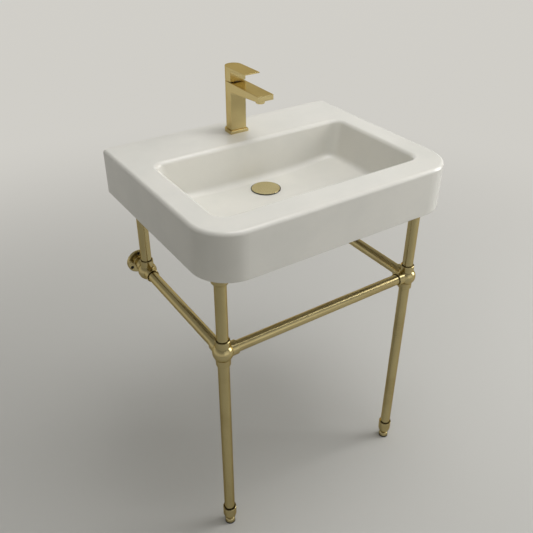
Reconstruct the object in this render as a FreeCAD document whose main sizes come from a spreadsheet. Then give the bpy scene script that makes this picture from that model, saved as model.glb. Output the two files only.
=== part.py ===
"""Console basin on a tubular frame, as a parametric document.

Frame of the part, in millimetres: X to the right, Y towards the wall, Z up.
The origin is on the floor, at the middle of the basin's width and depth, so
the wall stands at Y = basin_depth / 2 and the front edge at -basin_depth / 2.
"""
import FreeCAD, Part
import Sketcher
import math
import os

document = FreeCAD.newDocument("console_basin")
Vector = FreeCAD.Vector
Rotation = FreeCAD.Rotation

# ---------------------------------------------------------------- the sheet
SIZES = [
    # the glazed basin
    ("basin_width", 614, "overall width of the basin"),
    ("basin_depth", 480, "wall to front edge"),
    ("rim_height", 860, "floor to the top of the rim"),
    ("apron_height", 106, "height of the straight skirt"),
    ("corner_radius", 80, "front corners, seen from above"),
    ("apron_wall", 14, "thickness of the skirt"),
    ("deck_thickness", 15, "thickness of the rim and tap deck"),
    ("rim_rounding", 8, "rounding of the outer top edge"),
    ("lower_rounding", 3, "rounding of the skirt's lower edge"),
    ("bowl_width", 500, "bowl opening, side to side"),
    ("bowl_setback", 134, "wall to the back of the bowl"),
    ("front_rim", 67, "front edge to the bowl"),
    ("bowl_depth", 100, "rim to the floor at the drain"),
    ("floor_rise", 12, "how far the floor climbs towards the sides"),
    ("side_draft", 20, "lean of each side wall of the bowl"),
    ("back_draft", 5, "lean of the back wall"),
    ("front_draft", 14, "lean of the front wall"),
    ("bowl_corner", 24, "corner radius of the bowl at the rim"),
    ("floor_corner", 32, "corner radius of the bowl at the floor"),
    ("floor_fillet", 14, "rounding between floor and walls"),
    ("bowl_rounding", 9, "rounding of the bowl's upper edge"),
    ("bowl_shell", 12, "thickness of the bowl's walls"),
    ("drain_setback", 191, "wall to the middle of the drain"),
    ("drain_hole_radius", 22.5, "hole in the bowl"),
    ("drain_recess_radius", 33, "recess that the drain flange lies in"),
    ("drain_recess_depth", 3, "depth of that recess"),
    ("drain_pad_drop", 8, "pad under the bowl, below the shell"),
    ("tap_hole_radius", 17.5, "hole in the tap deck"),
    ("wall_bolt_spacing", 280, "between the two wall bolt holes"),
    ("wall_bolt_drop", 62, "rim to the wall bolt holes"),
    ("wall_bolt_radius", 6, "radius of the wall bolt holes"),
    # the tubular frame
    ("leg_side_inset", 50, "side of the basin to the legs' axes"),
    ("leg_inset", 60, "front edge to the legs' axes"),
    ("fitting_height", 552, "floor to the rails' axes"),
    ("wall_gap", 54.5, "wall to the rear posts' axes"),
    ("tube_radius", 12.7, "every tube, outside"),
    ("tube_wall", 1.5, "wall of every tube"),
    ("tube_play", 0.05, "radial play of a tube in its socket"),
    ("ball_radius", 22.5, "ball of each fitting"),
    ("arm_radius", 15.9, "socket arms of each fitting"),
    ("arm_reach", 32, "ball centre to the arm's mouth"),
    ("socket_depth", 16, "how far a tube goes into an arm"),
    ("mouth_gap", 1.6, "radial gap round a tube at a mouth"),
    ("mouth_depth", 5, "depth of that gap"),
    ("edge_break", 0.8, "bevel on turned edges"),
    # the cups under the basin
    ("top_cup_radius", 18.5, "cup on top of each leg and post"),
    ("top_cup_height", 28, "its height"),
    ("top_cup_bevel", 5.5, "bevel at its lower edge"),
    ("top_cup_socket", 18, "how far a tube goes into it"),
    ("top_washer", 1.5, "rubber washer between cup and basin"),
    ("stud_radius", 5.9, "threaded stud of a top cup"),
    ("stud_length", 15, "its length above the washer"),
    ("plug_wall", 2, "plastic plug round the stud"),
    ("plug_play", 0.1, "play between stud, plug and basin"),
    # the feet
    ("foot_cup_radius", 16.3, "cup at the bottom of each leg"),
    ("foot_cup_top", 56, "floor to its mouth"),
    ("foot_cup_bottom", 15.5, "floor to its lower face"),
    ("foot_cup_nose", 9.6, "radius of its lower face"),
    ("foot_cup_curve", 17, "height of its tapered lower part"),
    ("foot_cup_swell", 32, "radius of that part's curve"),
    ("foot_mouth_gap", 2.4, "radial gap round the tube at its mouth"),
    ("foot_mouth_depth", 9, "depth of that gap"),
    ("foot_cup_floor", 18, "thickness of metal under the tube"),
    ("foot_stem_radius", 5, "threaded stem of the levelling foot"),
    ("foot_stem_play", 0.05, "radial play of the stem"),
    ("foot_stem_length", 26, "length of the stem"),
    ("foot_radius", 12.2, "levelling foot, at its widest"),
    ("foot_neck_radius", 8.8, "levelling foot, at its neck"),
    ("foot_height", 14, "floor to the neck's top"),
    ("pad_radius", 12.4, "rubber pad under the foot"),
    ("pad_height", 3.4, "its height below the foot"),
    # the wall flanges
    ("flange_radius", 30, "disc against the wall"),
    ("flange_thickness", 6, "thickness of the disc"),
    ("flange_bevel", 2, "bevel of its front edge"),
    ("flange_screw_circle", 23, "radius of the screw circle"),
    ("flange_screw_count", 3, "number of screw holes"),
    ("flange_hole_radius", 2.7, "radius of each screw hole"),
    ("flange_sink_radius", 4.6, "countersink of each screw hole"),
    # the small grub screws in the fittings
    ("grub_radius", 2.5, "grub screws, M5"),
    ("grub_length", 6, "length of each grub screw"),
    # the tap
    ("tap_setback", 58.5, "wall to the tap's axis"),
    ("tap_half_width", 20, "half the tap's width, and its back radius"),
    ("tap_front", 17.5, "axis to the flat front face"),
    ("tap_body_height", 119.5, "rim to the top of the tap's body"),
    ("base_margin", 4, "base plate proud of the body"),
    ("base_height", 7.5, "height of the base plate"),
    ("base_bevel", 1.2, "bevel of the base plate's top edge"),
    ("shank_radius", 15, "brass shank under the body, through the tap hole"),
    ("shank_drop", 30, "shank below the deck's surface"),
    ("shank_seat", 4, "shank inside the body"),
    ("shank_flat", 5.8, "axis to the flat on the shank's back"),
    ("shank_play", 0.1, "play of the shank in the body and base plate"),
    ("spout_reach", 131.5, "axis to the spout's tip"),
    ("spout_tip", 11.5, "thickness of the tip"),
    ("spout_root", 21.5, "thickness where it leaves the body"),
    ("spout_fall", 1, "fall of its top from body to tip"),
    ("aerator_reach", 109.5, "axis to the middle of the aerator"),
    ("aerator_radius", 10, "aerator, outside"),
    ("aerator_height", 7.5, "aerator below the spout"),
    ("aerator_thread", 8.6, "radius of the aerator's thread"),
    ("aerator_depth", 6, "thread inside the spout"),
    ("aerator_insert_radius", 7.4, "flow insert, outside"),
    ("waterway_width", 14, "water channel in the spout, width"),
    ("waterway_height", 4, "water channel in the spout, height"),
    ("inlet_radius", 5, "supply tails under the shank, 10 mm"),
    ("inlet_offset", 7.5, "tails each side of the axis"),
    ("inlet_front", 4, "tails in front of the axis"),
    ("inlet_length", 16, "length of the tails"),
    ("inlet_root", 4, "tails inside the shank"),
    ("inlet_bore", 3.2, "radius of the bores through the tails and above"),
    # the cartridge
    ("cartridge_radius", 12.5, "cartridge, lower body"),
    ("cartridge_play", 0.1, "radial play of fixed inner pieces"),
    ("cartridge_depth", 38, "chamber below the body's top"),
    ("cartridge_shoulder", 7.5, "shoulder below the body's top"),
    ("cartridge_neck", 10.8, "radius of the cartridge's neck"),
    ("neck_sink", 2, "neck's top below the body's top"),
    ("nut_radius", 14.8, "ring nut over the cartridge"),
    ("turret_radius", 9.5, "turning turret in the cartridge"),
    ("turret_height", 14, "height of the turret"),
    ("turret_play", 0.06, "running play of the turret"),
    ("turret_sink", 1, "turret's top below the body's top"),
    ("pivot_drop", 6.5, "lever's pivot below the body's top"),
    ("pin_radius", 1.5, "pivot pin"),
    ("pin_play", 0.04, "running play of the pin"),
    ("stem_width", 7, "square stem of the lever"),
    ("stem_play", 0.15, "play beside the stem"),
    ("stem_tail", 5, "stem below its pivot"),
    ("slot_length", 13, "slot in the turret, front to back"),
    # the lever
    ("lever_gap", 2.5, "gap between body and lever"),
    ("lever_height", 153, "rim to the lever's top"),
    ("lever_reach", 77.5, "axis to the lever's tip"),
    ("lever_tip", 2, "thickness of the tip"),
    ("lever_root", 6.5, "thickness at the block"),
    ("lever_hollow", 14.5, "radius of the hollow under the lever"),
    ("hollow_height", 9, "height of that hollow"),
    ("socket_height", 9, "stem's socket above the hollow"),
    ("relief_start", 4, "axis to the start of the rear relief"),
    ("relief_rise", 6.2, "height of the relief at the back, for a lift of 20 degrees"),
    # under the tap deck
    ("tap_stud_radius", 3, "threaded stud, M6"),
    ("tap_stud_back", 11, "stud behind the tap's axis"),
    ("tap_stud_drop", 44, "stud below the deck's surface"),
    ("tap_stud_grip", 14, "stud inside the tap's body"),
    ("clamp_radius", 26, "horseshoe washer and plate"),
    ("clamp_play", 0.8, "gap between horseshoe and shank"),
    ("clamp_rubber", 3, "thickness of the rubber washer"),
    ("clamp_steel", 2.5, "thickness of the steel plate"),
    ("clamp_nut_corner", 5.8, "brass nut, radius to its corners"),
    ("clamp_nut_height", 14, "brass nut, height"),
    ("gasket_thickness", 1.6, "gasket under the base plate"),
    ("gasket_width", 4, "its width"),
    # the drain
    ("drain_flange_radius", 31.5, "flange in the recess"),
    ("drain_flange", 2.2, "thickness of the flange"),
    ("drain_gasket", 0.9, "gasket under the flange"),
    ("drain_tube_radius", 21.4, "threaded tube of the drain"),
    ("drain_bore", 17, "bore of the drain"),
    ("drain_seat", 22, "radius of the bevelled seat"),
    ("drain_length", 62, "flange to the tube's shoulder"),
    ("drain_end_radius", 19, "lower end, below the shoulder"),
    ("drain_end_length", 18, "its length"),
    ("guide_drop", 26, "flange to the stem guide"),
    ("guide_radius", 6.5, "boss of the stem guide"),
    ("guide_height", 8, "height of the guide"),
    ("guide_web", 4, "width of the guide's cross bars"),
    ("cap_radius", 33, "drain cap"),
    ("cap_edge", 1.2, "thickness of its edge"),
    ("cap_break", 0.4, "bevels of that edge"),
    ("cap_crown", 0.8, "dome above the edge"),
    ("cap_boss", 1, "boss under the cap, inside the seal"),
    ("cap_stem_radius", 3.5, "stem of the cap"),
    ("cap_stem_play", 0.05, "running play of the stem"),
    ("cap_travel", 9, "how far the cap lifts"),
    ("cap_nut_radius", 5.5, "stop nut on the stem"),
    ("cap_nut_height", 4, "its height"),
    ("cap_stop_gap", 0.3, "space left at the stop"),
    ("seal_radius", 34.8, "black lip seal under the cap, outside"),
    ("seal_foot", 30.8, "outside of the seal on the flange"),
    ("seal_lip", 0.7, "thickness of its outer lip"),
    ("seal_inner", 23, "black seal, inside"),
    ("seal_height", 1.3, "height of the seal"),
    ("under_gasket", 6, "rubber gasket under the bowl"),
    ("under_washer", 2, "plastic washer under it"),
    ("under_radius", 33, "radius of both"),
    ("lock_nut_radius", 29, "lock nut, to its corners"),
    ("lock_nut_height", 13, "its height"),
    ("thread_play", 0.1, "play of plain stand-in threads"),
    ("tail_radius", 15.875, "tailpiece, 31.75 mm outside"),
    ("tail_wall", 1, "wall of the tailpiece"),
    ("tail_length", 118, "length of the tailpiece"),
    ("tail_bead", 1.3, "rolled bead under the slip nut, proud of the tailpiece"),
    ("tail_entry", 14, "tailpiece inside the drain's end"),
    ("slip_nut_radius", 24, "slip nut, to its corners"),
    ("slip_nut_height", 17, "its height"),
    ("slip_seal", 3, "height of the slip nut's seal"),
]


class Size:
    """A number together with the sheet formula that it comes from."""

    def __init__(self, value, formula):
        self.value = float(value)
        self.formula = formula

    def __add__(self, other):
        return combine(self, "+", other, lambda a, b: a + b)

    def __radd__(self, other):
        return combine(other, "+", self, lambda a, b: a + b)

    def __sub__(self, other):
        return combine(self, "-", other, lambda a, b: a - b)

    def __rsub__(self, other):
        return combine(other, "-", self, lambda a, b: a - b)

    def __mul__(self, other):
        return combine(self, "*", other, lambda a, b: a * b)

    def __rmul__(self, other):
        return combine(other, "*", self, lambda a, b: a * b)

    def __truediv__(self, other):
        return combine(self, "/", other, lambda a, b: a / b)

    def __neg__(self):
        return combine(0, "-", self, lambda a, b: a - b)


def as_size(number):
    """A plain number is a formula too: itself."""
    if isinstance(number, Size):
        return number
    return Size(number, repr(float(number)))


def combine(left, sign, right, work):
    left, right = as_size(left), as_size(right)
    formula = "(%s %s %s)" % (left.formula, sign, right.formula)
    return Size(work(left.value, right.value), formula)


class Named:
    """The sheet's sizes, one attribute for each alias."""


def fill_sheet(rows):
    sheet = document.addObject("Spreadsheet::Sheet", "Sizes")
    named = Named()
    for row, (alias, value, note) in enumerate(rows, start=1):
        sheet.set("A%d" % row, alias)
        sheet.set("B%d" % row, str(value))
        sheet.setAlias("B%d" % row, alias)
        sheet.set("C%d" % row, note)
        setattr(named, alias, Size(value, "Sizes." + alias))
    document.recompute()
    return named


s = fill_sheet(SIZES)

# ---------------------------------------------------------- places in space
wall_y = s.basin_depth / 2
front_y = -wall_y
deck_z = s.rim_height
apron_z = s.rim_height - s.apron_height
leg_x = s.basin_width / 2 - s.leg_side_inset
leg_y = front_y + s.leg_inset
post_y = wall_y - s.wall_gap
tap_y = wall_y - s.tap_setback
drain_y = wall_y - s.drain_setback
bowl_back_y = wall_y - s.bowl_setback
bowl_front_y = front_y + s.front_rim
body_top_z = deck_z + s.tap_body_height
pivot_z = body_top_z - s.pivot_drop
tube_end = s.arm_reach - s.socket_depth
drain_floor_z = deck_z - s.bowl_depth
drain_flange_z = drain_floor_z - s.drain_recess_depth + s.drain_gasket + s.drain_flange
drain_pad_z = drain_floor_z - s.bowl_shell - s.drain_pad_drop
top_cup_z = apron_z - s.top_washer
SIDES = (("left", -1), ("right", 1))

sub_parts = []


# ------------------------------------------------------------------ helpers
def bind(thing, name, size):
    """Set a property to a size and tie it to the sheet."""
    size = as_size(size)
    thing.setExpression(name, size.formula)


def move_to(thing, place, rotation=None):
    """Put a sub-part or primitive at a place made of sizes."""
    place = [as_size(value) for value in place]
    base = Vector(*[value.value for value in place])
    thing.Placement = FreeCAD.Placement(base, rotation or Rotation())
    for axis, value in zip("xyz", place):
        thing.setExpression("Placement.Base." + axis, value.formula)


def new_body(label):
    body = document.addObject("PartDesign::Body", label + "_body")
    body.Label = label
    sub_parts.append(body)
    return body


def origin_plane(body, role):
    for feature in body.Origin.OriginFeatures:
        if feature.Role == role:
            return feature
    raise RuntimeError("no plane " + role)


def arc_between(start, end, radius, turn):
    """The shorter arc from start to end; turn is 1 against the clock."""
    chord = end - start
    half = chord.Length / 2
    rise = math.sqrt(max(radius * radius - half * half, 0.0))
    across = Vector(-chord.y, chord.x, 0).normalize()
    centre = (start + end) / 2 + across * rise * turn
    middle = centre - across * radius * turn
    return Part.Arc(start, middle, end)


def outline(body, name, steps, plane="XY_Plane", lift=None):
    """A closed sketch held by sizes.

    Each step is (x, y) for a straight line to that corner, or
    (x, y, radius, turn) for an arc to it.
    """
    sketch = body.newObject("Sketcher::SketchObject", name)
    sketch.AttachmentSupport = (origin_plane(body, plane), [""])
    sketch.MapMode = "FlatFace"
    if lift is not None:
        bind(sketch, "AttachmentOffset.Base.z", lift)
    corners = [(as_size(step[0]), as_size(step[1])) for step in steps]
    points = [Vector(x.value, y.value, 0) for x, y in corners]
    ends = []
    for number, step in enumerate(steps):
        start, end = points[number - 1], points[number]
        if len(step) == 2:
            edge = sketch.addGeometry(Part.LineSegment(start, end), False)
            ends.append((edge, 1, 2))
            continue
        radius, turn = as_size(step[2]), step[3]
        arc = arc_between(start, end, radius.value, turn)
        edge = sketch.addGeometry(arc, False)
        ends.append((edge, 1, 2) if turn > 0 else (edge, 2, 1))
    for number, (edge, first, last) in enumerate(ends):
        following = ends[(number + 1) % len(ends)]
        sketch.addConstraint(
            Sketcher.Constraint("Coincident", edge, last, following[0], following[1]))
        for kind, size in zip(("DistanceX", "DistanceY"), corners[number]):
            hold(sketch, kind, (-1, 1, edge, last), size)
    for number, step in enumerate(steps):
        if len(step) == 4:
            hold(sketch, "Radius", (ends[number][0],), as_size(step[2]))
    return sketch


def hold(sketch, kind, where, size):
    """One dimension of a sketch, tied to the sheet."""
    if abs(size.value) < 1e-9 and kind != "Radius":
        axis = -2 if kind == "DistanceX" else -1
        sketch.addConstraint(
            Sketcher.Constraint("PointOnObject", where[2], where[3], axis))
        return
    index = sketch.addConstraint(Sketcher.Constraint(kind, *where, size.value))
    sketch.setExpression("Constraints[%d]" % index, size.formula)


def circles(body, name, rounds, plane="XY_Plane", lift=None):
    """A sketch of whole circles, each (x, y, radius)."""
    sketch = body.newObject("Sketcher::SketchObject", name)
    sketch.AttachmentSupport = (origin_plane(body, plane), [""])
    sketch.MapMode = "FlatFace"
    if lift is not None:
        bind(sketch, "AttachmentOffset.Base.z", lift)
    for x, y, radius in rounds:
        x, y, radius = as_size(x), as_size(y), as_size(radius)
        middle = Vector(x.value, y.value, 0)
        ring = Part.Circle(middle, Vector(0, 0, 1), radius.value)
        edge = sketch.addGeometry(ring, False)
        hold(sketch, "DistanceX", (-1, 1, edge, 3), x)
        hold(sketch, "DistanceY", (-1, 1, edge, 3), y)
        hold(sketch, "Radius", (edge,), radius)
    return sketch


def pad(body, sketch, length, both_ways=False):
    feature = body.newObject("PartDesign::Pad", sketch.Name + "_pad")
    feature.Profile = sketch
    feature.SideType = "Symmetric" if both_ways else "One side"
    bind(feature, "Length", length)
    sketch.Visibility = False
    return feature


def pocket(body, sketch, depth, upwards=False, both_ways=False):
    """Cut a sketch's shape; without upwards it cuts down, against the normal."""
    feature = body.newObject("PartDesign::Pocket", sketch.Name + "_pocket")
    feature.Profile = sketch
    feature.SideType = "Symmetric" if both_ways else "One side"
    feature.Reversed = upwards
    bind(feature, "Length", depth)
    return feature


def revolve(body, sketch):
    feature = body.newObject("PartDesign::Revolution", sketch.Name + "_turned")
    feature.Profile = sketch
    feature.ReferenceAxis = (sketch, ["V_Axis"])
    feature.Angle = 360
    return feature


def primitive(body, kind, name, sizes, place, rotation=None):
    """An additive or subtractive primitive of a body."""
    feature = body.newObject("PartDesign::" + kind, name)
    for key, size in sizes.items():
        bind(feature, key, size)
    move_to(feature, place, rotation)
    return feature


def edges_where(feature, wanted):
    """Names of a feature's edges that a test accepts."""
    return ["Edge%d" % (number + 1) for number, edge in
            enumerate(feature.Shape.Edges) if wanted(edge)]


def round_edges(body, feature, name, wanted, radius, kind="Fillet"):
    """Fillet or chamfer the edges that a test accepts."""
    document.recompute()
    names = edges_where(feature, wanted)
    if not names:
        raise RuntimeError("no edge found for " + name)
    dressing = body.newObject("PartDesign::" + kind, name)
    dressing.Base = (feature, names)
    bind(dressing, "Radius" if kind == "Fillet" else "Size", radius)
    return dressing


def turned(label, profile, place, rotation=None):
    """A lathe piece: its profile is (radius, height) steps."""
    body = new_body(label)
    revolve(body, outline(body, label + "_profile", profile, "XZ_Plane"))
    move_to(body, place, rotation)
    return body


def flat_at(edge, height):
    """True for an edge that lies level at a height."""
    box = edge.BoundBox
    return abs(box.ZMin - height) < 0.01 and abs(box.ZMax - height) < 0.01


ALONG_X = Rotation(Vector(0, 1, 0), 90)      # local Z points to +X
ALONG_BACK = Rotation(Vector(1, 0, 0), -90)  # local Z points to +Y
ALONG_FRONT = Rotation(Vector(1, 0, 0), 90)  # local Z points to -Y
AGAINST_X = Rotation(Vector(0, 1, 0), -90)   # local Z points to -X
UPSIDE_DOWN = Rotation(Vector(1, 0, 0), 180)


# ------------------------------------------------------------------- basin
def rounded_rectangle(left, front, right, back, corner):
    """Steps of a rectangle with four round corners, against the clock."""
    return [
        (right - corner, front),
        (right, front + corner, corner, 1),
        (right, back - corner),
        (right - corner, back, corner, 1),
        (left + corner, back),
        (left, back - corner, corner, 1),
        (left, front + corner),
        (left + corner, front, corner, 1),
    ]


def apron_outline(inset):
    """Plan of the basin, drawn in by an inset; square corners at the wall."""
    half = s.basin_width / 2 - inset
    back, front = wall_y - inset, front_y + inset
    corner = s.corner_radius - inset
    return [
        (half - corner, front),
        (half, front + corner, corner, 1),
        (half, back),
        (-half, back),
        (-half, front + corner),
        (-half + corner, front, corner, 1),
    ]


def bowl_section(body, name, depth, spread):
    """The bowl's plan at a depth below the rim, spread by a shell."""
    lean = depth / s.bowl_depth
    half = s.bowl_width / 2 - s.side_draft * lean + spread
    corner = s.bowl_corner + (s.floor_corner - s.bowl_corner) * lean + spread
    steps = rounded_rectangle(
        -half, bowl_front_y + s.front_draft * lean - spread,
        half, bowl_back_y - s.back_draft * lean + spread, corner)
    return outline(body, name, steps, lift=-depth)


def build_basin():
    """The glazed basin: skirt, deck, bowl, leg pads and holes.

    Local Z = 0 is the top of the rim.
    """
    void = bowl_void()
    body = new_body("basin")
    pad(body, outline(body, "skirt_plan", apron_outline(0), lift=-s.apron_height),
        s.apron_height)
    hollow = outline(body, "hollow_plan", apron_outline(s.apron_wall),
                     lift=-s.deck_thickness)
    pocket(body, hollow, s.apron_height)
    shell = body.newObject("PartDesign::AdditiveLoft", "bowl_shell_loft")
    shell.Profile = bowl_section(body, "shell_top", s.deck_thickness / 2, s.bowl_shell)
    shell.Sections = [
        bowl_section(body, "shell_foot", s.bowl_depth + s.bowl_shell, s.bowl_shell)]
    add_leg_pads(body)
    primitive(body, "AdditiveCylinder", "drain_pad",
              {"Radius": s.drain_recess_radius + 5,
               "Height": s.bowl_shell + s.drain_pad_drop},
              (0, drain_y, drain_pad_z - deck_z))
    bowl = body.newObject("PartDesign::Boolean", "bowl_cut")
    bowl.Type = "Cut"
    bowl.setObjects([void])
    rim = round_edges(body, bowl, "bowl_edge", is_bowl_edge, s.bowl_rounding)
    outer = round_edges(body, rim, "outer_edge", is_outer_edge, s.rim_rounding)
    round_edges(body, outer, "skirt_edge", is_skirt_edge, s.lower_rounding)
    cut_basin_holes(body)
    move_to(body, (0, 0, deck_z))
    return body


def bowl_void():
    """The hollow of the bowl as a solid, to be cut from the basin.

    Its floor falls from both sides to the drain on one wide arc.
    """
    void = document.addObject("PartDesign::Body", "bowl_void")
    spare = s.floor_rise / 2
    block = void.newObject("PartDesign::AdditiveLoft", "bowl_loft")
    block.Profile = bowl_section(void, "bowl_top", as_size(0), as_size(0))
    block.Sections = [bowl_section(void, "bowl_foot", s.bowl_depth + spare, as_size(0))]
    half = s.bowl_width / 2
    reach = half - s.side_draft
    rise = s.floor_rise
    radius = (reach * reach + rise * rise) / (2 * rise)
    high = -s.bowl_depth + half * half / (2 * radius)
    floor = outline(void, "floor_arc", [
        (half, -s.bowl_depth - spare * 2), (half, high),
        (-half, high, arc_radius(half, high + s.bowl_depth), -1),
        (-half, -s.bowl_depth - spare * 2)], "XZ_Plane")
    cut = pocket(void, floor, s.basin_depth * 2, both_ways=True)
    round_edges(void, cut, "floor_rounding", is_floor_edge, s.floor_fillet)
    return void


def arc_radius(half, rise):
    """Radius of an arc from its half chord and its rise."""
    return (half * half + rise * rise) / (2 * rise)


def add_leg_pads(body):
    """Solid corners under the deck that the legs and posts bear on."""
    skin = s.apron_wall / 2
    half = s.basin_width / 2 - skin
    margin = s.top_cup_radius + 6
    corner = s.corner_radius - skin
    inner = s.basin_width / 2 - s.corner_radius
    front, back = front_y + skin, wall_y - skin
    for name, side in SIDES:
        front_pad = [
            (inner, leg_y + margin), (inner, front),
            (half, front + corner, corner, 1), (half, leg_y + margin)]
        rear_pad = [
            (leg_x - margin, back), (leg_x - margin, post_y - margin),
            (half, post_y - margin), (half, back)]
        for end, steps in (("front", front_pad), ("rear", rear_pad)):
            plan = outline(body, "pad_%s_%s" % (end, name), mirrored(steps, side),
                           lift=-s.apron_height)
            pad(body, plan, s.apron_height - s.deck_thickness / 2)


def mirrored(steps, side):
    """The same steps on the right (side 1) or, mirrored, on the left (side -1)."""
    flipped = []
    for step in steps:
        turn = [step[2], step[3] * side] if len(step) == 4 else []
        flipped.append(tuple([step[0] * side, step[1]] + turn))
    return flipped


def is_floor_edge(edge):
    """Edges round the bowl's floor."""
    return edge.BoundBox.ZMax < -s.bowl_depth.value + s.floor_rise.value + 3


def is_bowl_edge(edge):
    half = s.bowl_width.value / 2 + 0.5
    box = edge.BoundBox
    return (flat_at(edge, 0) and box.XMin > -half and box.XMax < half
            and box.YMin > bowl_front_y.value - 0.5
            and box.YMax < bowl_back_y.value + 0.5)


def is_outer_edge(edge):
    """The rim's outer edge, apart from the stretch along the wall."""
    return flat_at(edge, 0) and not is_bowl_edge(edge) and not along_wall(edge)


def along_wall(edge):
    return edge.BoundBox.YMin > wall_y.value - 0.01


def is_skirt_edge(edge):
    """The skirt's outer lower edge, apart from the stretch along the wall."""
    if not flat_at(edge, -s.apron_height.value) or along_wall(edge):
        return False
    box = edge.BoundBox
    half = s.basin_width.value / 2
    corner = s.corner_radius.value
    return (box.YMax < front_y.value + 0.01 or box.XMax > half - 0.01
            or box.XMin < -half + 0.01) and (
        box.YMin < front_y.value + corner + 1)


def cut_basin_holes(body):
    """Tap hole, drain hole and recess, wall bolt holes and stud holes."""
    pocket(body, circles(body, "tap_hole", [(0, tap_y, s.tap_hole_radius)]),
           s.deck_thickness * 2)
    pocket(body, circles(body, "drain_recess", [(0, drain_y, s.drain_recess_radius)],
                         lift=-s.bowl_depth + s.floor_rise / 2),
           s.floor_rise / 2 + s.drain_recess_depth)
    pocket(body, circles(body, "drain_hole", [(0, drain_y, s.drain_hole_radius)],
                         lift=-s.bowl_depth),
           s.bowl_shell + s.drain_pad_drop + s.bowl_shell)
    bolts = [(side * s.wall_bolt_spacing / 2, -s.wall_bolt_drop, s.wall_bolt_radius)
             for side in (-1, 1)]
    pocket(body, circles(body, "wall_bolts", bolts, "XZ_Plane", lift=-wall_y),
           s.apron_wall * 2, upwards=True, both_ways=True)
    studs = [(side * leg_x, axis_y, stud_hole_radius())
             for side in (-1, 1) for axis_y in (leg_y, post_y)]
    pocket(body, circles(body, "stud_holes", studs, lift=-s.apron_height),
           s.stud_length + 4, upwards=True)


def stud_hole_radius():
    return s.stud_radius + s.plug_play * 2 + s.plug_wall


# ------------------------------------------------------------ tubular frame
def tube(label, length, place, rotation=None):
    """A straight tube along its local Z."""
    inner = s.tube_radius - s.tube_wall
    return turned(label, [
        (s.tube_radius, 0), (s.tube_radius, length), (inner, length), (inner, 0)],
        place, rotation)


def ball_fitting(label, place, arms):
    """A turned ball with socket arms; each arm is a rotation of local Z."""
    body = new_body(label)
    primitive(body, "AdditiveSphere", label + "_ball", {"Radius": s.ball_radius}, (0, 0, 0))
    for number, turn in enumerate(arms):
        primitive(body, "AdditiveCylinder", "%s_arm_%d" % (label, number),
                  {"Radius": s.arm_radius, "Height": s.arm_reach}, (0, 0, 0), turn)
    document.recompute()
    last = body.Tip
    reach = s.arm_reach.value

    def at_mouth(edge):
        if edge.Degenerated or not isinstance(edge.Curve, Part.Circle):
            return False
        return (abs(edge.Curve.Center.Length - reach) < 0.01
                and abs(edge.Curve.Radius - s.arm_radius.value) < 0.01)

    round_edges(body, last, label + "_mouths", at_mouth, s.edge_break, "Chamfer")
    for number, turn in enumerate(arms):
        for name, radius, start in (
                ("socket", s.tube_radius + s.tube_play, tube_end),
                ("mouth", s.tube_radius + s.mouth_gap, s.arm_reach - s.mouth_depth)):
            along = turn.multVec(Vector(0, 0, 1))
            place_in = [round(value) * start for value in along]
            primitive(body, "SubtractiveCylinder", "%s_%s_%d" % (label, name, number),
                      {"Radius": radius, "Height": s.arm_reach}, place_in, turn)
    move_to(body, place)
    return body


def build_frame():
    """Legs, rails, posts and the fittings that join them."""
    upright = Rotation()
    for name, side in SIDES:
        inward = ALONG_X if side < 0 else AGAINST_X
        x = side * leg_x
        ball_fitting("front_fitting_" + name, (x, leg_y, s.fitting_height),
                     [upright, UPSIDE_DOWN, ALONG_BACK, inward])
        ball_fitting("rear_fitting_" + name, (x, post_y, s.fitting_height),
                     [upright, ALONG_FRONT, ALONG_BACK])
        upper = top_cup_z - s.top_cup_height + s.top_cup_socket
        start = s.fitting_height + tube_end
        tube("upper_leg_" + name, upper - start, (x, leg_y, start))
        tube("rear_post_" + name, upper - start, (x, post_y, start))
        foot_floor = s.foot_cup_bottom + s.foot_cup_floor
        tube("lower_leg_" + name, s.fitting_height - tube_end - foot_floor,
             (x, leg_y, foot_floor))
        tube("side_rail_" + name, post_y - leg_y - 2 * tube_end,
             (x, leg_y + tube_end, s.fitting_height), ALONG_BACK)
        top_cup("front_top_cup_" + name, (x, leg_y, top_cup_z))
        top_cup("rear_top_cup_" + name, (x, post_y, top_cup_z))
        foot_cup("foot_cup_" + name, (x, leg_y, 0))
        levelling_foot("levelling_foot_" + name, (x, leg_y, 0))
        foot_pad("foot_pad_" + name, (x, leg_y, 0))
        wall_flange("wall_flange_" + name, (x, wall_y, s.fitting_height))
    tube("front_rail", 2 * (leg_x - tube_end),
         (-leg_x + tube_end, leg_y, s.fitting_height), ALONG_X)
    top_washers()
    stud_plugs()


def top_cup(label, place):
    """Cup on a tube's top, with the stud that holds it to the basin."""
    cup, bevel, stud = s.top_cup_radius, s.top_cup_bevel, s.stud_radius
    bore = s.tube_radius + s.tube_play
    low = -s.top_cup_height
    tip = s.top_washer + s.stud_length
    return turned(label, [
        (0, tip), (0, low + s.top_cup_socket), (bore, low + s.top_cup_socket),
        (bore, low), (cup - bevel, low), (cup, low + bevel, bevel, 1),
        (cup, 0), (stud, 0), (stud, tip)], place)


def top_washers():
    """Four rubber washers between the top cups and the basin, one node."""
    body = new_body("top_cup_washers")
    inner = s.stud_radius + s.plug_play
    rings = leg_places()
    sketch = circles(body, "washer_rings",
                     [(x, y, s.top_cup_radius - 1) for x, y in rings]
                     + [(x, y, inner) for x, y in rings])
    pad(body, sketch, s.top_washer)
    move_to(body, (0, 0, top_cup_z))
    return body


def stud_plugs():
    """Four plastic plugs that line the stud holes, one node."""
    body = new_body("stud_plugs")
    inner = s.stud_radius + s.plug_play
    rings = leg_places()
    sketch = circles(body, "plug_rings",
                     [(x, y, inner + s.plug_wall) for x, y in rings]
                     + [(x, y, inner) for x, y in rings])
    pad(body, sketch, s.stud_length)
    move_to(body, (0, 0, apron_z))
    return body


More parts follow.
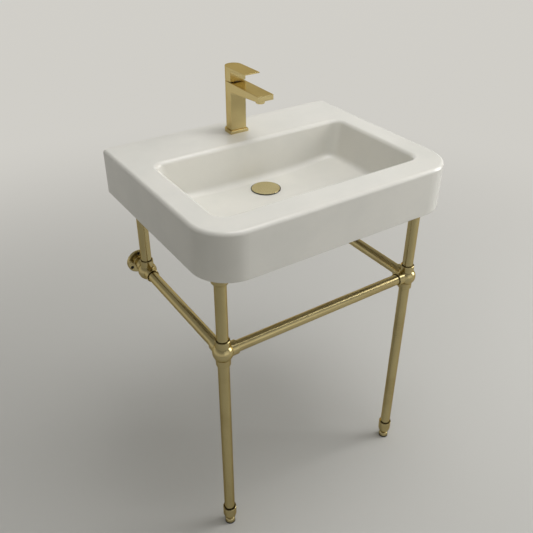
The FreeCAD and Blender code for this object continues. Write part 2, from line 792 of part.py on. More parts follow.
def leg_places():
    return [(side * leg_x, y) for side in (-1, 1) for y in (leg_y, post_y)]


def foot_cup(label, place):
    """Turned cup on the leg's lower end, with the foot's threaded bore."""
    cup, nose, curve = s.foot_cup_radius, s.foot_cup_nose, s.foot_cup_curve
    low, top, edge = s.foot_cup_bottom, s.foot_cup_top, s.edge_break
    bore = s.tube_radius + s.tube_play
    mouth = s.tube_radius + s.foot_mouth_gap
    stem = s.foot_stem_radius + s.foot_stem_play
    seat = low + s.foot_cup_floor
    return turned(label, [
        (stem, low), (nose, low), (cup, low + curve, s.foot_cup_swell, 1),
        (cup, top - edge), (cup - edge, top), (mouth, top),
        (mouth, top - s.foot_mouth_depth), (bore, top - s.foot_mouth_depth),
        (bore, seat), (stem, seat)], place)


def levelling_foot(label, place):
    """Round foot with the stem that screws into the cup."""
    wide, neck, stem = s.foot_radius, s.foot_neck_radius, s.foot_stem_radius
    low, top = s.pad_height, s.foot_height
    middle = low + (top - low) / 3
    return turned(label, [
        (0, low), (wide - 1, low), (wide, low + 1, 1, 1), (wide, middle),
        (neck, top, wide - neck + 4, 1), (stem, top),
        (stem, top + s.foot_stem_length), (0, top + s.foot_stem_length)], place)


def foot_pad(label, place):
    return turned(label, [
        (0, 0), (s.pad_radius, 0), (s.pad_radius, s.pad_height), (0, s.pad_height)],
        place)


def wall_flange(label, place):
    """Disc on the wall with a spigot for the rear fitting; local Z leaves the wall."""
    disc, thick, bevel = s.flange_radius, s.flange_thickness, s.flange_bevel
    spigot = s.tube_radius
    tip = s.wall_gap - tube_end
    bore = s.tube_radius - s.tube_wall * 2
    body = turned(label, [
        (0, 0), (disc, 0), (disc, thick - bevel), (disc - bevel, thick),
        (spigot + 1.5, thick), (spigot, thick + 1.5, 1.5, -1), (spigot, tip),
        (bore, tip), (bore, thick), (0, thick)], place, ALONG_FRONT)
    first = primitive(body, "SubtractiveCylinder", label + "_hole",
                      {"Radius": s.flange_hole_radius, "Height": thick * 3},
                      (0, s.flange_screw_circle, -thick))
    sink = primitive(body, "SubtractiveCone", label + "_sink",
                     {"Radius1": s.flange_hole_radius, "Radius2": s.flange_sink_radius,
                      "Height": s.flange_sink_radius - s.flange_hole_radius},
                     (0, s.flange_screw_circle,
                      thick - s.flange_sink_radius + s.flange_hole_radius))
    document.recompute()
    pattern = body.newObject("PartDesign::PolarPattern", label + "_screws")
    pattern.Originals = [first, sink]
    pattern.Axis = (origin_plane(body, "Z_Axis"), [""])
    pattern.Angle = 360
    bind(pattern, "Occurrences", s.flange_screw_count)
    body.Tip = pattern
    return body


# --------------------------------------------------------------------- tap
def d_outline(half, front):
    """Flat front, straight sides and a half round back."""
    return [
        (half, -front), (half, 0), (0, half, half, 1), (-half, 0, half, 1),
        (-half, -front)]


def build_tap():
    tap_base_plate()
    tap_gasket()
    tap_shank()
    tap_body()
    aerator()
    cartridge()
    lever()
    tap_fixing()


def tap_base_plate():
    body = new_body("tap_base_plate")
    margin = s.base_margin
    plate = pad(body, outline(body, "base_plan", d_outline(
        s.tap_half_width + margin, s.tap_front + margin)), s.base_height)
    height = s.base_height.value
    top = round_edges(body, plate, "base_top_bevel",
                      lambda edge: flat_at(edge, height), s.base_bevel, "Chamfer")
    top.Visibility = True
    primitive(body, "SubtractiveCylinder", "base_bore",
              {"Radius": s.shank_radius + s.shank_play, "Height": s.base_height * 3},
              (0, 0, -s.base_height))
    primitive(body, "SubtractiveCylinder", "base_recess",
              {"Radius": gasket_outer() + s.shank_play, "Height": s.gasket_thickness},
              (0, 0, 0))
    move_to(body, (0, tap_y, deck_z))


def gasket_outer():
    return s.shank_radius + 0.5 + s.gasket_width


def tap_gasket():
    inner = gasket_outer() - s.gasket_width
    turned("tap_gasket", [
        (inner, 0), (gasket_outer(), 0), (gasket_outer(), s.gasket_thickness),
        (inner, s.gasket_thickness)], (0, tap_y, deck_z))


def tap_body():
    """Column and spout in one casting; local Z = 0 is the deck."""
    body = new_body("tap_body")
    top, front = s.tap_body_height, s.tap_front
    pad(body, outline(body, "column_plan", d_outline(s.tap_half_width, front),
                      lift=s.base_height), top - s.base_height)
    spout = outline(body, "spout_side", [
        (-front + 3, top - s.spout_root), (-front, top - s.spout_root),
        (-s.spout_reach, top - s.spout_fall - s.spout_tip),
        (-s.spout_reach, top - s.spout_fall), (-front, top), (-front + 3, top)],
        "YZ_Plane")
    joined = pad(body, spout, s.tap_half_width * 2, both_ways=True)
    reach = s.spout_reach.value
    round_edges(body, joined, "spout_tip_edges",
                lambda edge: edge.BoundBox.YMax < -reach + 0.01, 0.6)
    bore_cartridge_chamber(body)
    bore_waterways(body)
    move_to(body, (0, tap_y, deck_z))


def bore_cartridge_chamber(body):
    top = s.tap_body_height
    primitive(body, "SubtractiveCylinder", "chamber",
              {"Radius": s.cartridge_radius + s.cartridge_play,
               "Height": s.cartridge_depth * 2}, (0, 0, top - s.cartridge_depth))
    primitive(body, "SubtractiveCylinder", "nut_thread",
              {"Radius": s.nut_radius + s.cartridge_play,
               "Height": s.cartridge_depth}, (0, 0, top - s.cartridge_shoulder))


def bore_waterways(body):
    """Shank seat, risers, channel along the spout, aerator and stud threads."""
    reach, width = s.aerator_reach, s.waterway_width
    primitive(body, "SubtractiveCylinder", "aerator_bore",
              {"Radius": s.aerator_thread + s.thread_play, "Height": s.aerator_depth + 10},
              (0, -reach, aerator_seat() - 10))
    channel_z = aerator_seat() + s.aerator_depth - s.waterway_height
    primitive(body, "SubtractiveBox", "spout_channel",
              {"Length": width, "Width": reach, "Height": s.waterway_height},
              (-width / 2, -reach, channel_z))
    primitive(body, "SubtractiveCylinder", "shank_pocket",
              {"Radius": s.shank_radius + s.shank_play, "Height": s.shank_seat * 2},
              (0, 0, s.base_height - s.shank_seat))
    for name, side in SIDES:
        primitive(body, "SubtractiveCylinder", "riser_" + name,
                  {"Radius": s.inlet_bore,
                   "Height": s.tap_body_height - s.cartridge_depth - s.base_height},
                  (side * s.inlet_offset, -s.inlet_front, s.base_height))
    primitive(body, "SubtractiveCylinder", "stud_thread",
              {"Radius": s.tap_stud_radius + s.thread_play, "Height": s.tap_stud_grip},
              (0, s.tap_stud_back, s.base_height))


def tap_shank():
    """Brass shank that brings both supplies through the tap hole.

    Its back is cut flat beside the fixing stud, and two plain tails hang
    from its foot, one for each supply.
    """
    body = new_body("tap_shank")
    radius, low = s.shank_radius, -s.shank_drop
    height = s.shank_drop + s.base_height + s.shank_seat
    primitive(body, "AdditiveCylinder", "shank_round",
              {"Radius": radius, "Height": height}, (0, 0, low))
    primitive(body, "SubtractiveBox", "shank_back",
              {"Length": radius * 4, "Width": radius * 2, "Height": height * 3},
              (-radius * 2, s.shank_flat, low - height))
    foot = low - s.inlet_length
    for name, side in SIDES:
        primitive(body, "AdditiveCylinder", "tail_" + name,
                  {"Radius": s.inlet_radius, "Height": s.inlet_length + s.inlet_root},
                  (side * s.inlet_offset, -s.inlet_front, foot))
    for name, side in SIDES:
        primitive(body, "SubtractiveCylinder", "tail_bore_" + name,
                  {"Radius": s.inlet_bore, "Height": (height + s.inlet_length) * 2},
                  (side * s.inlet_offset, -s.inlet_front, foot))
    move_to(body, (0, tap_y, deck_z))


def spout_underside(distance):
    """Height of the spout's underside at a distance in front of the axis."""
    root = s.tap_body_height - s.spout_root
    tip = s.tap_body_height - s.spout_fall - s.spout_tip
    return root + (tip - root) * (distance - s.tap_front) / (s.spout_reach - s.tap_front)


def aerator_seat():
    """Height at which the aerator meets the sloping underside."""
    return spout_underside(s.aerator_reach + s.aerator_radius)


def aerator():
    """Threaded housing and the flow insert that it carries."""
    thread, wide = s.aerator_thread, s.aerator_radius
    insert = s.aerator_insert_radius
    low = -s.aerator_height
    seat = deck_z + spout_underside(s.aerator_reach - s.aerator_radius)
    grip = aerator_seat() - spout_underside(s.aerator_reach - s.aerator_radius)
    turned("aerator_housing", [
        (insert + 0.1, low), (wide - 0.6, low), (wide, low + 0.6), (wide, 0),
        (thread, 0), (thread, grip + 2.5), (insert + 0.1, grip + 2.5)],
        (0, tap_y - s.aerator_reach, seat))
    disc = turned("aerator_insert", [
        (0, low + 0.8), (insert, low + 0.8), (insert, grip + 1.5), (0, grip + 1.5)],
        (0, tap_y - s.aerator_reach, seat))
    pitch = 3.2
    holes = [(pitch * math.cos(turn * math.pi / 3) * ring,
              pitch * math.sin(turn * math.pi / 3) * ring, 0.7)
             for ring in (1, 1.75) for turn in range(6)]
    pocket(disc, circles(disc, "flow_holes", holes, lift=low + 0.8), 3, upwards=True)


def cartridge():
    """Cartridge body, ring nut, turning turret and its pivot pin."""
    top = -s.neck_sink
    low = -s.cartridge_depth + 0.3
    shoulder = -s.cartridge_shoulder
    seat = -s.turret_sink - s.turret_height
    bore = s.turret_radius + s.turret_play
    at_top = (0, tap_y, body_top_z)
    turned("cartridge_body", [
        (0, low), (s.cartridge_radius, low), (s.cartridge_radius, shoulder),
        (s.cartridge_neck, shoulder), (s.cartridge_neck, top), (bore, top),
        (bore, seat - 0.2), (0, seat - 0.2)], at_top)
    inner = s.cartridge_neck + s.cartridge_play
    nut = turned("cartridge_nut", [
        (inner, shoulder), (s.nut_radius, shoulder), (s.nut_radius, -0.8),
        (s.nut_radius - 0.6, -0.2), (inner, -0.2)], at_top)
    for number in range(2):
        primitive(nut, "SubtractiveBox", "spanner_slot_%d" % number,
                  {"Length": s.nut_radius * 3, "Width": as_size(3), "Height": as_size(2)},
                  slot_corner(number), Rotation(Vector(0, 0, 1), 90 * number))
    turret(seat)
    pin = new_body("lever_pivot_pin")
    length = s.turret_radius * 2 - 3
    pad(pin, circles(pin, "pin_round", [(0, 0, s.pin_radius)]), length, both_ways=True)
    move_to(pin, (0, tap_y, pivot_z), ALONG_X)


def slot_corner(number):
    """Corner of a spanner slot box that is centred on the nut."""
    long, wide = s.nut_radius * 1.5, as_size(1.5)
    return (-long, -wide, -2) if number == 0 else (wide, -long, -2)


def turret(seat):
    body = new_body("cartridge_turret")
    top = -s.turret_sink
    revolve(body, outline(body, "turret_profile", [
        (0, seat), (s.turret_radius, seat), (s.turret_radius, top - 0.5),
        (s.turret_radius - 0.5, top), (0, top)], "XZ_Plane"))
    width = s.stem_width + 2 * s.stem_play
    depth = s.pivot_drop + s.stem_tail - s.turret_sink + 1.5
    primitive(body, "SubtractiveBox", "stem_slot",
              {"Length": width, "Width": s.slot_length, "Height": depth + 5},
              (-width / 2, -s.slot_length / 2, top - depth))
    length = s.turret_radius * 3
    primitive(body, "SubtractiveCylinder", "pin_bore",
              {"Radius": s.pin_radius, "Height": length},
              (-length / 2, 0, -s.pivot_drop), ALONG_X)
    move_to(body, (0, tap_y, body_top_z))


def lever():
    """Lever handle, its stem and the grub screw that holds them together."""
    body = new_body("lever_handle")
    low = s.tap_body_height + s.lever_gap
    front = s.tap_front
    pad(body, outline(body, "block_plan", d_outline(s.tap_half_width, front), lift=low),
        s.lever_height - low)
    blade = pad(body, outline(body, "blade_side", [
        (-front + 3, s.lever_height - s.lever_root), (-front, s.lever_height - s.lever_root),
        (-s.lever_reach, s.lever_height - s.lever_tip), (-s.lever_reach, s.lever_height),
        (-front + 3, s.lever_height)], "YZ_Plane"), s.tap_half_width * 2, both_ways=True)
    reach = s.lever_reach.value
    round_edges(body, blade, "blade_tip_edges",
                lambda edge: edge.BoundBox.YMax < -reach + 0.01
                and edge.BoundBox.XLength < 1, 1.0)
    half = s.tap_half_width
    pocket(body, outline(body, "rear_relief", [
        (half + 5, low - 1), (half + 5, low + s.relief_rise * 1.3),
        (s.relief_start, low), (s.relief_start, low - 1)], "YZ_Plane"),
        half * 4, both_ways=True)
    primitive(body, "SubtractiveCylinder", "lever_hollow",
              {"Radius": s.lever_hollow, "Height": s.hollow_height + 10}, (0, 0, low - 10))
    width = s.stem_width + s.stem_play
    primitive(body, "SubtractiveBox", "stem_socket",
              {"Length": width, "Width": width, "Height": s.socket_height + 5},
              (-width / 2, -width / 2, low + s.hollow_height - 5))
    screw_z = low + s.hollow_height + s.socket_height / 2
    primitive(body, "SubtractiveCylinder", "grub_bore",
              {"Radius": s.grub_radius + 0.05, "Height": half * 2}, (0, 0, screw_z),
              ALONG_BACK)
    move_to(body, (0, tap_y, deck_z))
    stem = new_body("lever_stem")
    height = screw_z + s.socket_height / 2 - 0.3 - (s.tap_body_height - s.pivot_drop)
    width = s.stem_width
    primitive(stem, "AdditiveBox", "stem_bar",
              {"Length": width, "Width": width, "Height": height + s.stem_tail},
              (-width / 2, -width / 2, -s.stem_tail))
    primitive(stem, "SubtractiveCylinder", "stem_pin_bore",
              {"Radius": s.pin_radius + s.pin_play, "Height": width * 3},
              (-1.5 * width, 0, 0), ALONG_X)
    move_to(stem, (0, tap_y, pivot_z))
    turned("lever_grub_screw", [
        (0, 0), (s.grub_radius, 0), (s.grub_radius, s.grub_length * 1.6),
        (0, s.grub_length * 1.6)],
        (0, tap_y + s.stem_width / 2 + 0.02, deck_z + screw_z), ALONG_BACK)


def tap_fixing():
    """Stud, horseshoe washer and plate, and nut under the deck."""
    under = deck_z - s.deck_thickness
    stud_y = tap_y + s.tap_stud_back
    tip = s.base_height + s.tap_stud_grip - 0.5
    turned("tap_stud", [
        (0, -s.tap_stud_drop), (s.tap_stud_radius, -s.tap_stud_drop),
        (s.tap_stud_radius, tip), (0, tip)], (0, stud_y, deck_z))
    horseshoe("tap_rubber_washer", s.clamp_rubber, under - s.clamp_rubber)
    steel_z = under - s.clamp_rubber - s.clamp_steel
    horseshoe("tap_clamp_plate", s.clamp_steel, steel_z)
    hex_nut("tap_stud_nut", s.clamp_nut_corner, s.clamp_nut_height,
            s.tap_stud_radius + s.thread_play, (0, stud_y, steel_z - s.clamp_nut_height))


def horseshoe(label, thickness, height):
    """Round plate, open at the front so that it passes round the shank."""
    body = new_body(label)
    wide, slot = s.clamp_radius, s.shank_radius + s.clamp_play
    pad(body, circles(body, label + "_plan", [
        (0, 0, wide), (0, s.tap_stud_back, s.tap_stud_radius + 0.3)]), thickness)
    primitive(body, "SubtractiveBox", label + "_opening",
              {"Length": slot * 2, "Width": wide * 2, "Height": thickness * 3},
              (-slot, s.shank_flat + s.clamp_play - wide * 2, -thickness))
    move_to(body, (0, tap_y, height))


# ------------------------------------------------------------------- drain
def build_drain():
    """Local Z = 0 of every drain piece is the flange's upper face."""
    at = (0, drain_y, drain_flange_z)
    drain_body(at)
    gasket_top = -s.drain_flange
    turned("drain_gasket", [
        (s.drain_hole_radius - 0.5, gasket_top - s.drain_gasket),
        (s.drain_flange_radius, gasket_top - s.drain_gasket),
        (s.drain_flange_radius, gasket_top), (s.drain_hole_radius - 0.5, gasket_top)], at)
    drain_cap(at)
    drain_nuts(at)
    drain_tail(at)


def drain_body(at):
    flange, tube_out, bore = s.drain_flange_radius, s.drain_tube_radius, s.drain_bore
    low, end = -s.drain_length, -s.drain_length - s.drain_end_length
    seat = s.drain_seat
    socket = s.tail_radius + s.thread_play
    lip = low - s.drain_end_length + s.tail_entry + 0.3
    body = turned("drain_body", [
        (bore, -(seat - bore) / 2), (seat, 0), (flange - 0.6, 0), (flange, -0.6),
        (flange, -s.drain_flange), (tube_out, -s.drain_flange), (tube_out, low),
        (s.drain_end_radius, low), (s.drain_end_radius, end), (socket, end),
        (socket, lip), (bore - 2.5, lip), (bore - 2.5, lip + 2), (bore, lip + 4.5)], at)
    guide = -s.guide_drop
    for number in range(2):
        long, wide = (bore * 2 + 2, s.guide_web) if number == 0 else (s.guide_web, bore * 2 + 2)
        primitive(body, "AdditiveBox", "guide_bar_%d" % number,
                  {"Length": long, "Width": wide, "Height": s.guide_height - 2},
                  (-long / 2, -wide / 2, guide - s.guide_height + 1))
    primitive(body, "AdditiveCylinder", "guide_boss",
              {"Radius": s.guide_radius, "Height": s.guide_height},
              (0, 0, guide - s.guide_height))
    primitive(body, "SubtractiveCylinder", "guide_bore",
              {"Radius": s.cap_stem_radius + s.cap_stem_play, "Height": s.guide_height * 3},
              (0, 0, guide - s.guide_height * 2))
    return body


def drain_cap(at):
    """Cap and stem, with the seal under the cap and the stop nut below."""
    low = s.seal_height
    edge_top = low + s.cap_edge
    wide, stem = s.cap_radius, s.cap_stem_radius
    stop = -s.guide_drop - s.guide_height - s.cap_travel - s.cap_stop_gap
    foot = stop - s.cap_nut_height
    boss, boss_foot = s.seal_inner - 1, low - s.cap_boss
    bevel = s.cap_break
    crown = arc_radius(wide - bevel, s.cap_crown)
    turned("drain_cap", [
        (0, foot - 2), (stem, foot - 2), (stem, boss_foot), (boss, boss_foot),
        (boss, low), (wide - bevel, low), (wide, low + bevel),
        (wide, edge_top - bevel), (wide - bevel, edge_top),
        (0, edge_top + s.cap_crown, crown, 1)], at)
    turned("drain_cap_seal", [
        (boss + 0.1, low), (s.seal_inner + 1, 0.05), (s.seal_foot, 0.05),
        (s.seal_radius, low - s.seal_lip), (s.seal_radius, low)], at)
    turned("drain_cap_stop_nut", [
        (stem + 0.05, foot), (s.cap_nut_radius, foot), (s.cap_nut_radius, stop),
        (stem + 0.05, stop)], at)


def drain_nuts(at):
    """Rubber gasket, plastic washer and lock nut under the bowl."""
    bore = s.drain_tube_radius + s.thread_play
    top = drain_pad_z - drain_flange_z
    washer = top - s.under_gasket
    nut = washer - s.under_washer
    wide = s.under_radius
    turned("drain_under_gasket", [
        (bore, washer), (wide, washer), (wide, top - 2), (wide - 4, top), (bore, top)], at)
    turned("drain_friction_washer", [
        (bore, nut), (wide, nut), (wide, washer), (bore, washer)], at)
    hex_nut("drain_lock_nut", s.lock_nut_radius, s.lock_nut_height, bore,
            (0, drain_y, drain_flange_z + nut - s.lock_nut_height))


def hex_nut(label, corner, height, bore, place):
    body = new_body(label)
    hexagon = primitive(body, "AdditivePrism", label + "_hexagon",
                        {"Circumradius": corner, "Height": height}, (0, 0, 0))
    hexagon.Polygon = 6
    primitive(body, "SubtractiveCylinder", label + "_bore",
              {"Radius": bore, "Height": height * 3}, (0, 0, -height))
    move_to(body, place)
    return body


def drain_tail(at):
    """Tailpiece with its slip nut and seal."""
    end = -s.drain_length - s.drain_end_length
    tail = s.tail_radius
    entry = end + s.tail_entry
    low = entry - s.tail_length
    foot = end - s.slip_seal - 2.5
    bead, bead_top = s.tail_bead, foot - 2
    inner = tail - s.tail_wall
    turned("drain_tailpiece", [
        (inner, low), (tail, low), (tail, bead_top - 2 * bead),
        (tail, bead_top, bead, 1), (tail, entry), (inner, entry)], at)
    bore = tail + s.thread_play
    turned("tailpiece_seal", [
        (bore, end - s.slip_seal), (s.drain_end_radius, end - s.slip_seal),
        (s.drain_end_radius, end), (bore, end)], at)
    nut = hex_nut("tailpiece_nut", s.slip_nut_radius, s.slip_nut_height, bore,
                  (0, drain_y, drain_flange_z + foot))
    primitive(nut, "SubtractiveCylinder", "slip_thread",
              {"Radius": s.drain_end_radius + s.thread_play, "Height": s.slip_nut_height * 2},
              (0, 0, 2.5))


# --------------------------------------------------------------- the build
def check_document():
    for thing in document.Objects:
        if "Invalid" in thing.State or "Error" in thing.State:
            raise RuntimeError("failed: %s %s" % (thing.Name, thing.State))
    for part in sub_parts:
        if part.Shape.isNull() or not part.Shape.isValid():
            raise RuntimeError("bad shape: " + part.Label)


def write_parts():
    os.makedirs("parts", exist_ok=True)
    for part in sub_parts:
        part.Shape.exportStep("parts/%s.step" % part.Label)
        print("%-26s %d solid(s) %12.1f mm3" % (
            part.Label, len(part.Shape.Solids), part.Shape.Volume))


build_basin()
build_frame()
build_tap()
build_drain()
document.recompute()
check_document()
write_parts()
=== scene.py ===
"""Dresses a console basin on a tubular frame: its finishes, threads, small fittings and studio."""

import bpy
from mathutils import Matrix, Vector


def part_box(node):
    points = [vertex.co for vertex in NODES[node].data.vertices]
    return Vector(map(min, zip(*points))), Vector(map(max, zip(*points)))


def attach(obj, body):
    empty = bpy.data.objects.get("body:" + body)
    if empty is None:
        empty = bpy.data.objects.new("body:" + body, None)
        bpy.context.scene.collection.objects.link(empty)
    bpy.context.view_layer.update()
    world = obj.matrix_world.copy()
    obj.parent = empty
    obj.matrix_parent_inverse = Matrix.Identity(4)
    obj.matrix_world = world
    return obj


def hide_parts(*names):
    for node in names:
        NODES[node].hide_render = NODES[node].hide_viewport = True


bl_info = {
    "name": "Console Basin Dressing",
    "version": (1, 0, 0),
    "blender": (4, 5, 0),
    "location": "3D View > Sidebar > Basin",
    "description": "Finishes, threads and a studio for a console basin on a tubular frame",
    "category": "Object",
}

import math

import bmesh
import bpy
from bpy.props import FloatProperty, FloatVectorProperty, IntProperty, PointerProperty
from bpy.types import Operator, Panel, PropertyGroup, Scene
from mathutils import Matrix, Vector

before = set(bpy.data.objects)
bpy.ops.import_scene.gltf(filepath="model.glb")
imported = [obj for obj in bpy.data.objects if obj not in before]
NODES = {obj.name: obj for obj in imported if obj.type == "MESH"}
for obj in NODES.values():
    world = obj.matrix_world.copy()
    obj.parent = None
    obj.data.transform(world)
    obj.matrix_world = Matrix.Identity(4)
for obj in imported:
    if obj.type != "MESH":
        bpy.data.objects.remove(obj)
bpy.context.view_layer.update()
SIDES = (("left", -1), ("right", 1))

BLACK = (0, 0, 0)
SAME_PLACE = 1e-7  # points closer than this are one point, in metres
SHARP_ANGLE = math.radians(32)  # edges that turn more than this stay sharp
SCREW_STEPS = 24  # steps round a screw's head
SOCKET_SIDES = 6  # sides of the socket in it

# The directions that brush lines run across.
ALONG_X, ALONG_Y, ALONG_Z, ALL_WAYS = (1, 0, 0), (0, 1, 0), (0, 0, 1), (1, 1, 1)

# A Mix node's sockets for colours. Their names are those of its other sockets too.
MIX_SHARE, MIX_FIRST, MIX_SECOND, MIX_RESULT = 0, 6, 7, 2

# Each lamp's name, which is also its power's setting, with its size and place in metres.
LAMPS = (
    ("ceiling", (1.3, 1.3), (0.35, -0.25, 3.0)),
    ("window", (1.1, 2.0), (2.3, -1.0, 1.5)),
    ("strip", (0.12, 1.6), (1.35, -1.2, 2.9)),
    ("front", (3.0, 2.0), (0.4, -3.2, 1.5)),
    ("back", (3.6, 2.4), (1.2, 3.2, 1.9)),
)
LAMP_AIM = (0, 0, 0.6)


# Shader building: node work is one node tree, a finish is that of one material, and a signal is
# one output in it.


class Signal:
    """A shader output that takes part in arithmetic."""

    def __init__(self, work, socket):
        self.work = work
        self.socket = socket

    def with_math(self, operation, *values):
        return self.work.with_math(operation, self, *values)

    def __add__(self, other):
        return self.with_math("ADD", other)

    def __radd__(self, other):
        return self.work.with_math("ADD", other, self)

    def __sub__(self, other):
        return self.with_math("SUBTRACT", other)

    def __rsub__(self, other):
        return self.work.with_math("SUBTRACT", other, self)

    def __mul__(self, other):
        return self.with_math("MULTIPLY", other)

    def __rmul__(self, other):
        return self.work.with_math("MULTIPLY", other, self)

    def __truediv__(self, other):
        return self.with_math("DIVIDE", other)

    def __abs__(self):
        return self.with_math("ABSOLUTE")

    def __pow__(self, other):
        return self.with_math("POWER", other)

    def at_least(self, other):
        return self.with_math("MAXIMUM", other)

    def at_most(self, other):
        return self.with_math("MINIMUM", other)


class NodeWork:
    """Node tree built a node at a time, with the one shader that it feeds."""

    def __init__(self, owner, shader):
        owner.use_nodes = True
        self.tree = owner.node_tree
        self.shader = self.tree.nodes[shader]
        self.fed = {}

    def feed(self, socket, value):
        if isinstance(value, Signal):
            self.tree.links.new(value.socket, socket)
        else:
            socket.default_value = value

    def node(self, kind, settings=None, inputs=None, output=0):
        made = self.tree.nodes.new(kind)
        for name, value in (settings or {}).items():
            setattr(made, name, value)
        for key, value in (inputs or {}).items():
            self.feed(made.inputs[key], value)
        return Signal(self, made.outputs[output])

    def set(self, **values):
        """Feeds the shader's sockets, named with _ for a space, and keeps what each was fed."""
        for name, value in values.items():
            self.fed[name] = value
            self.feed(self.shader.inputs[name.replace("_", " ")], value)

    def seen(self):
        """1 for a ray that shows the surface, straight or in metal or glass, and 0 for light."""
        rays = self.node("ShaderNodeLightPath").socket.node.outputs
        kinds = ("Camera", "Glossy", "Transmission")
        straight, mirrored, through = (Signal(self, rays[f"Is {kind} Ray"]) for kind in kinds)
        return (straight + mirrored + through).at_most(1)

    def with_math(self, operation, *values):
        return self.node("ShaderNodeMath", {"operation": operation}, dict(enumerate(values)))

    def split(self, vector):
        """The three parts of a vector."""
        parts = self.node("ShaderNodeSeparateXYZ", None, {"Vector": vector}).socket.node.outputs
        return [Signal(self, part) for part in parts]

    def axes(self):
        """The three Object coordinates, in metres."""
        return self.split(self.node("ShaderNodeTexCoord", output="Object"))

    def facing_up(self):
        """How far the surface faces up, from -1 to 1."""
        return self.split(self.node("ShaderNodeNewGeometry", output="Normal"))[2]

    def place(self, stretch=(1, 1, 1)):
        """Object coordinates, on which a pattern is finer where its stretch is greater."""
        here = self.node("ShaderNodeTexCoord", output="Object")
        return self.node("ShaderNodeMapping", None, {"Vector": here, "Scale": stretch})

    def noise(self, scale=1, detail=2, roughness=0.5, stretch=(1, 1, 1)):
        inputs = {"Scale": scale, "Detail": detail, "Roughness": roughness}
        return self.node("ShaderNodeTexNoise", None, {"Vector": self.place(stretch), **inputs})

    def fade(self, value, low, high, to_low=0, to_high=1):
        """Takes value from low..high to to_low..to_high, and holds it there."""
        ends = {"From Min": low, "From Max": high, "To Min": to_low, "To Max": to_high}
        smooth = {"interpolation_type": "SMOOTHSTEP"}
        return self.node("ShaderNodeMapRange", smooth, {"Value": value, **ends})

    def blend(self, share, first, second):
        """Mixes two colours."""
        inputs = {MIX_SHARE: share, MIX_FIRST: colour4(first), MIX_SECOND: colour4(second)}
        return self.node("ShaderNodeMix", {"data_type": "RGBA"}, inputs, output=MIX_RESULT)

    def bump(self, height, depth, under=None):
        inputs = {"Height": height, "Distance": depth}
        if under:
            inputs["Normal"] = under
        return self.node("ShaderNodeBump", None, inputs)


class Finish(NodeWork):
    """One material on a Principled shader."""

    def __init__(self, name):
        self.material = bpy.data.materials.new(name)
        super().__init__(self.material, "Principled BSDF")


def colour4(colour):
    return colour if isinstance(colour, Signal) else (*colour[:3], 1)


def toned(colour, share):
    """A colour times a share."""
    return [part * share for part in colour]


# Settings that a user would change.


def colour_setting(name, description, default):
    return FloatVectorProperty(
        name=name, description=description, subtype="COLOR", size=3, min=0, max=1, default=default
    )


def length_setting(name, description, default):
    return FloatProperty(
        name=name, description=description, unit="LENGTH", min=0, precision=5, default=default
    )


def share_setting(name, description, default):
    return FloatProperty(
        name=name, description=description, subtype="FACTOR", min=0, max=1, default=default
    )


def power_setting(name, description, default):
    return FloatProperty(
        name=name, description=description, unit="POWER", min=0, default=default
    )


def angle_setting(name, description, degrees):
    return FloatProperty(
        name=name, description=description, subtype="ANGLE", default=math.radians(degrees)
    )


class GlazeSettings(PropertyGroup):
    """The basin's glaze and its bare clay"""

    glaze: colour_setting("Glaze", "Colour of the fired glaze", (0.765, 0.75, 0.695))
    pooled: colour_setting(
        "Pooled glaze", "Colour where the glaze lies thicker", (0.725, 0.715, 0.665)
    )
    clay: colour_setting(
        "Bare clay", "Colour of the unglazed back and underside", (0.66, 0.61, 0.53)
    )
    gloss: share_setting("Roughness", "Roughness of the glaze", 0.07)
    matt: share_setting("Clay roughness", "Roughness of the bare clay", 0.85)
    corner: length_setting("Corner", "Radius of the basin's front corners", 0.080)
    ripple: length_setting("Ripple", "Height of the soft ripples in the glaze", 0.00012)


class MetalSettings(PropertyGroup):
    """The gold, brass and steel"""

    gold: colour_setting("Gold", "Colour of the satin gold on the tap", (0.68, 0.565, 0.285))
    # Tube gold: the tap's satin gold darkened as painted shade, for the dark floor the frame
    # reflects.
    tube: colour_setting(
        "Tube gold", "Colour of the darker gold on the frame", (0.50, 0.42, 0.215)
    )
    deep: colour_setting("Deep gold", "Colour in the duller patches", (0.55, 0.43, 0.20))
    edge: colour_setting("Edge tint", "Tint of the gold seen edge on", (0.72, 0.60, 0.38))
    # Cap gold: a paler gold as a painted highlight, standing in for the light the cap reflects.
    cap_highlight: colour_setting(
        "Cap gold", "Colour of the drain's cap, worn paler than the rest", (0.86, 0.775, 0.49)
    )
    satin: share_setting("Roughness", "Roughness of the satin finish", 0.21)
    brass: colour_setting(
        "Raw brass", "Colour of the turned, uncoated brass", (0.64, 0.47, 0.22)
    )
    zinc: colour_setting("Zinc", "Colour of the zinc plated steel", (0.56, 0.57, 0.58))
    black: colour_setting(
        "Blackened steel", "Colour of the blackened screws", (0.035, 0.034, 0.033)
    )
    brush: length_setting("Brush line", "Width of one brush line", 0.0004)
    softened: length_setting(
        "Softened edge", "Radius at which the tap's edges catch the light", 0.0011
    )


class SoftSettings(PropertyGroup):
    """The rubber and the plastic"""

    rubber: colour_setting("Rubber", "Colour of the rubber", (0.013, 0.013, 0.014))
    dust: colour_setting("Dust", "Colour of the dust on the rubber", (0.05, 0.049, 0.047))
    plastic: colour_setting("Plastic", "Colour of the moulded plastic", (0.78, 0.78, 0.75))
    mesh: length_setting("Screen mesh", "Width of one square of the water screen", 0.0011)


class ThreadSettings(PropertyGroup):
    """The threads and the small screws"""

    rod_pitch: length_setting("Rod pitch", "Pitch of the thread on the tap's rod", 0.001)
    rod_radius: length_setting("Rod radius", "Outside radius of the tap's rod", 0.003)
    foot_pitch: length_setting("Foot pitch", "Pitch of the thread on the feet's stems", 0.0015)
    drain_pitch: length_setting("Drain pitch", "Pitch of the thread on the drain", 0.0021)
    steps: IntProperty(
        name="Thread steps", description="Steps round one turn of a thread", min=8, max=64,
        default=24,
    )
    set_screw: length_setting("Set screw", "Radius of the set screws in the fittings", 0.0025)
    wall_screw: length_setting("Wall screw", "Radius of the heads of the wall screws", 0.0043)


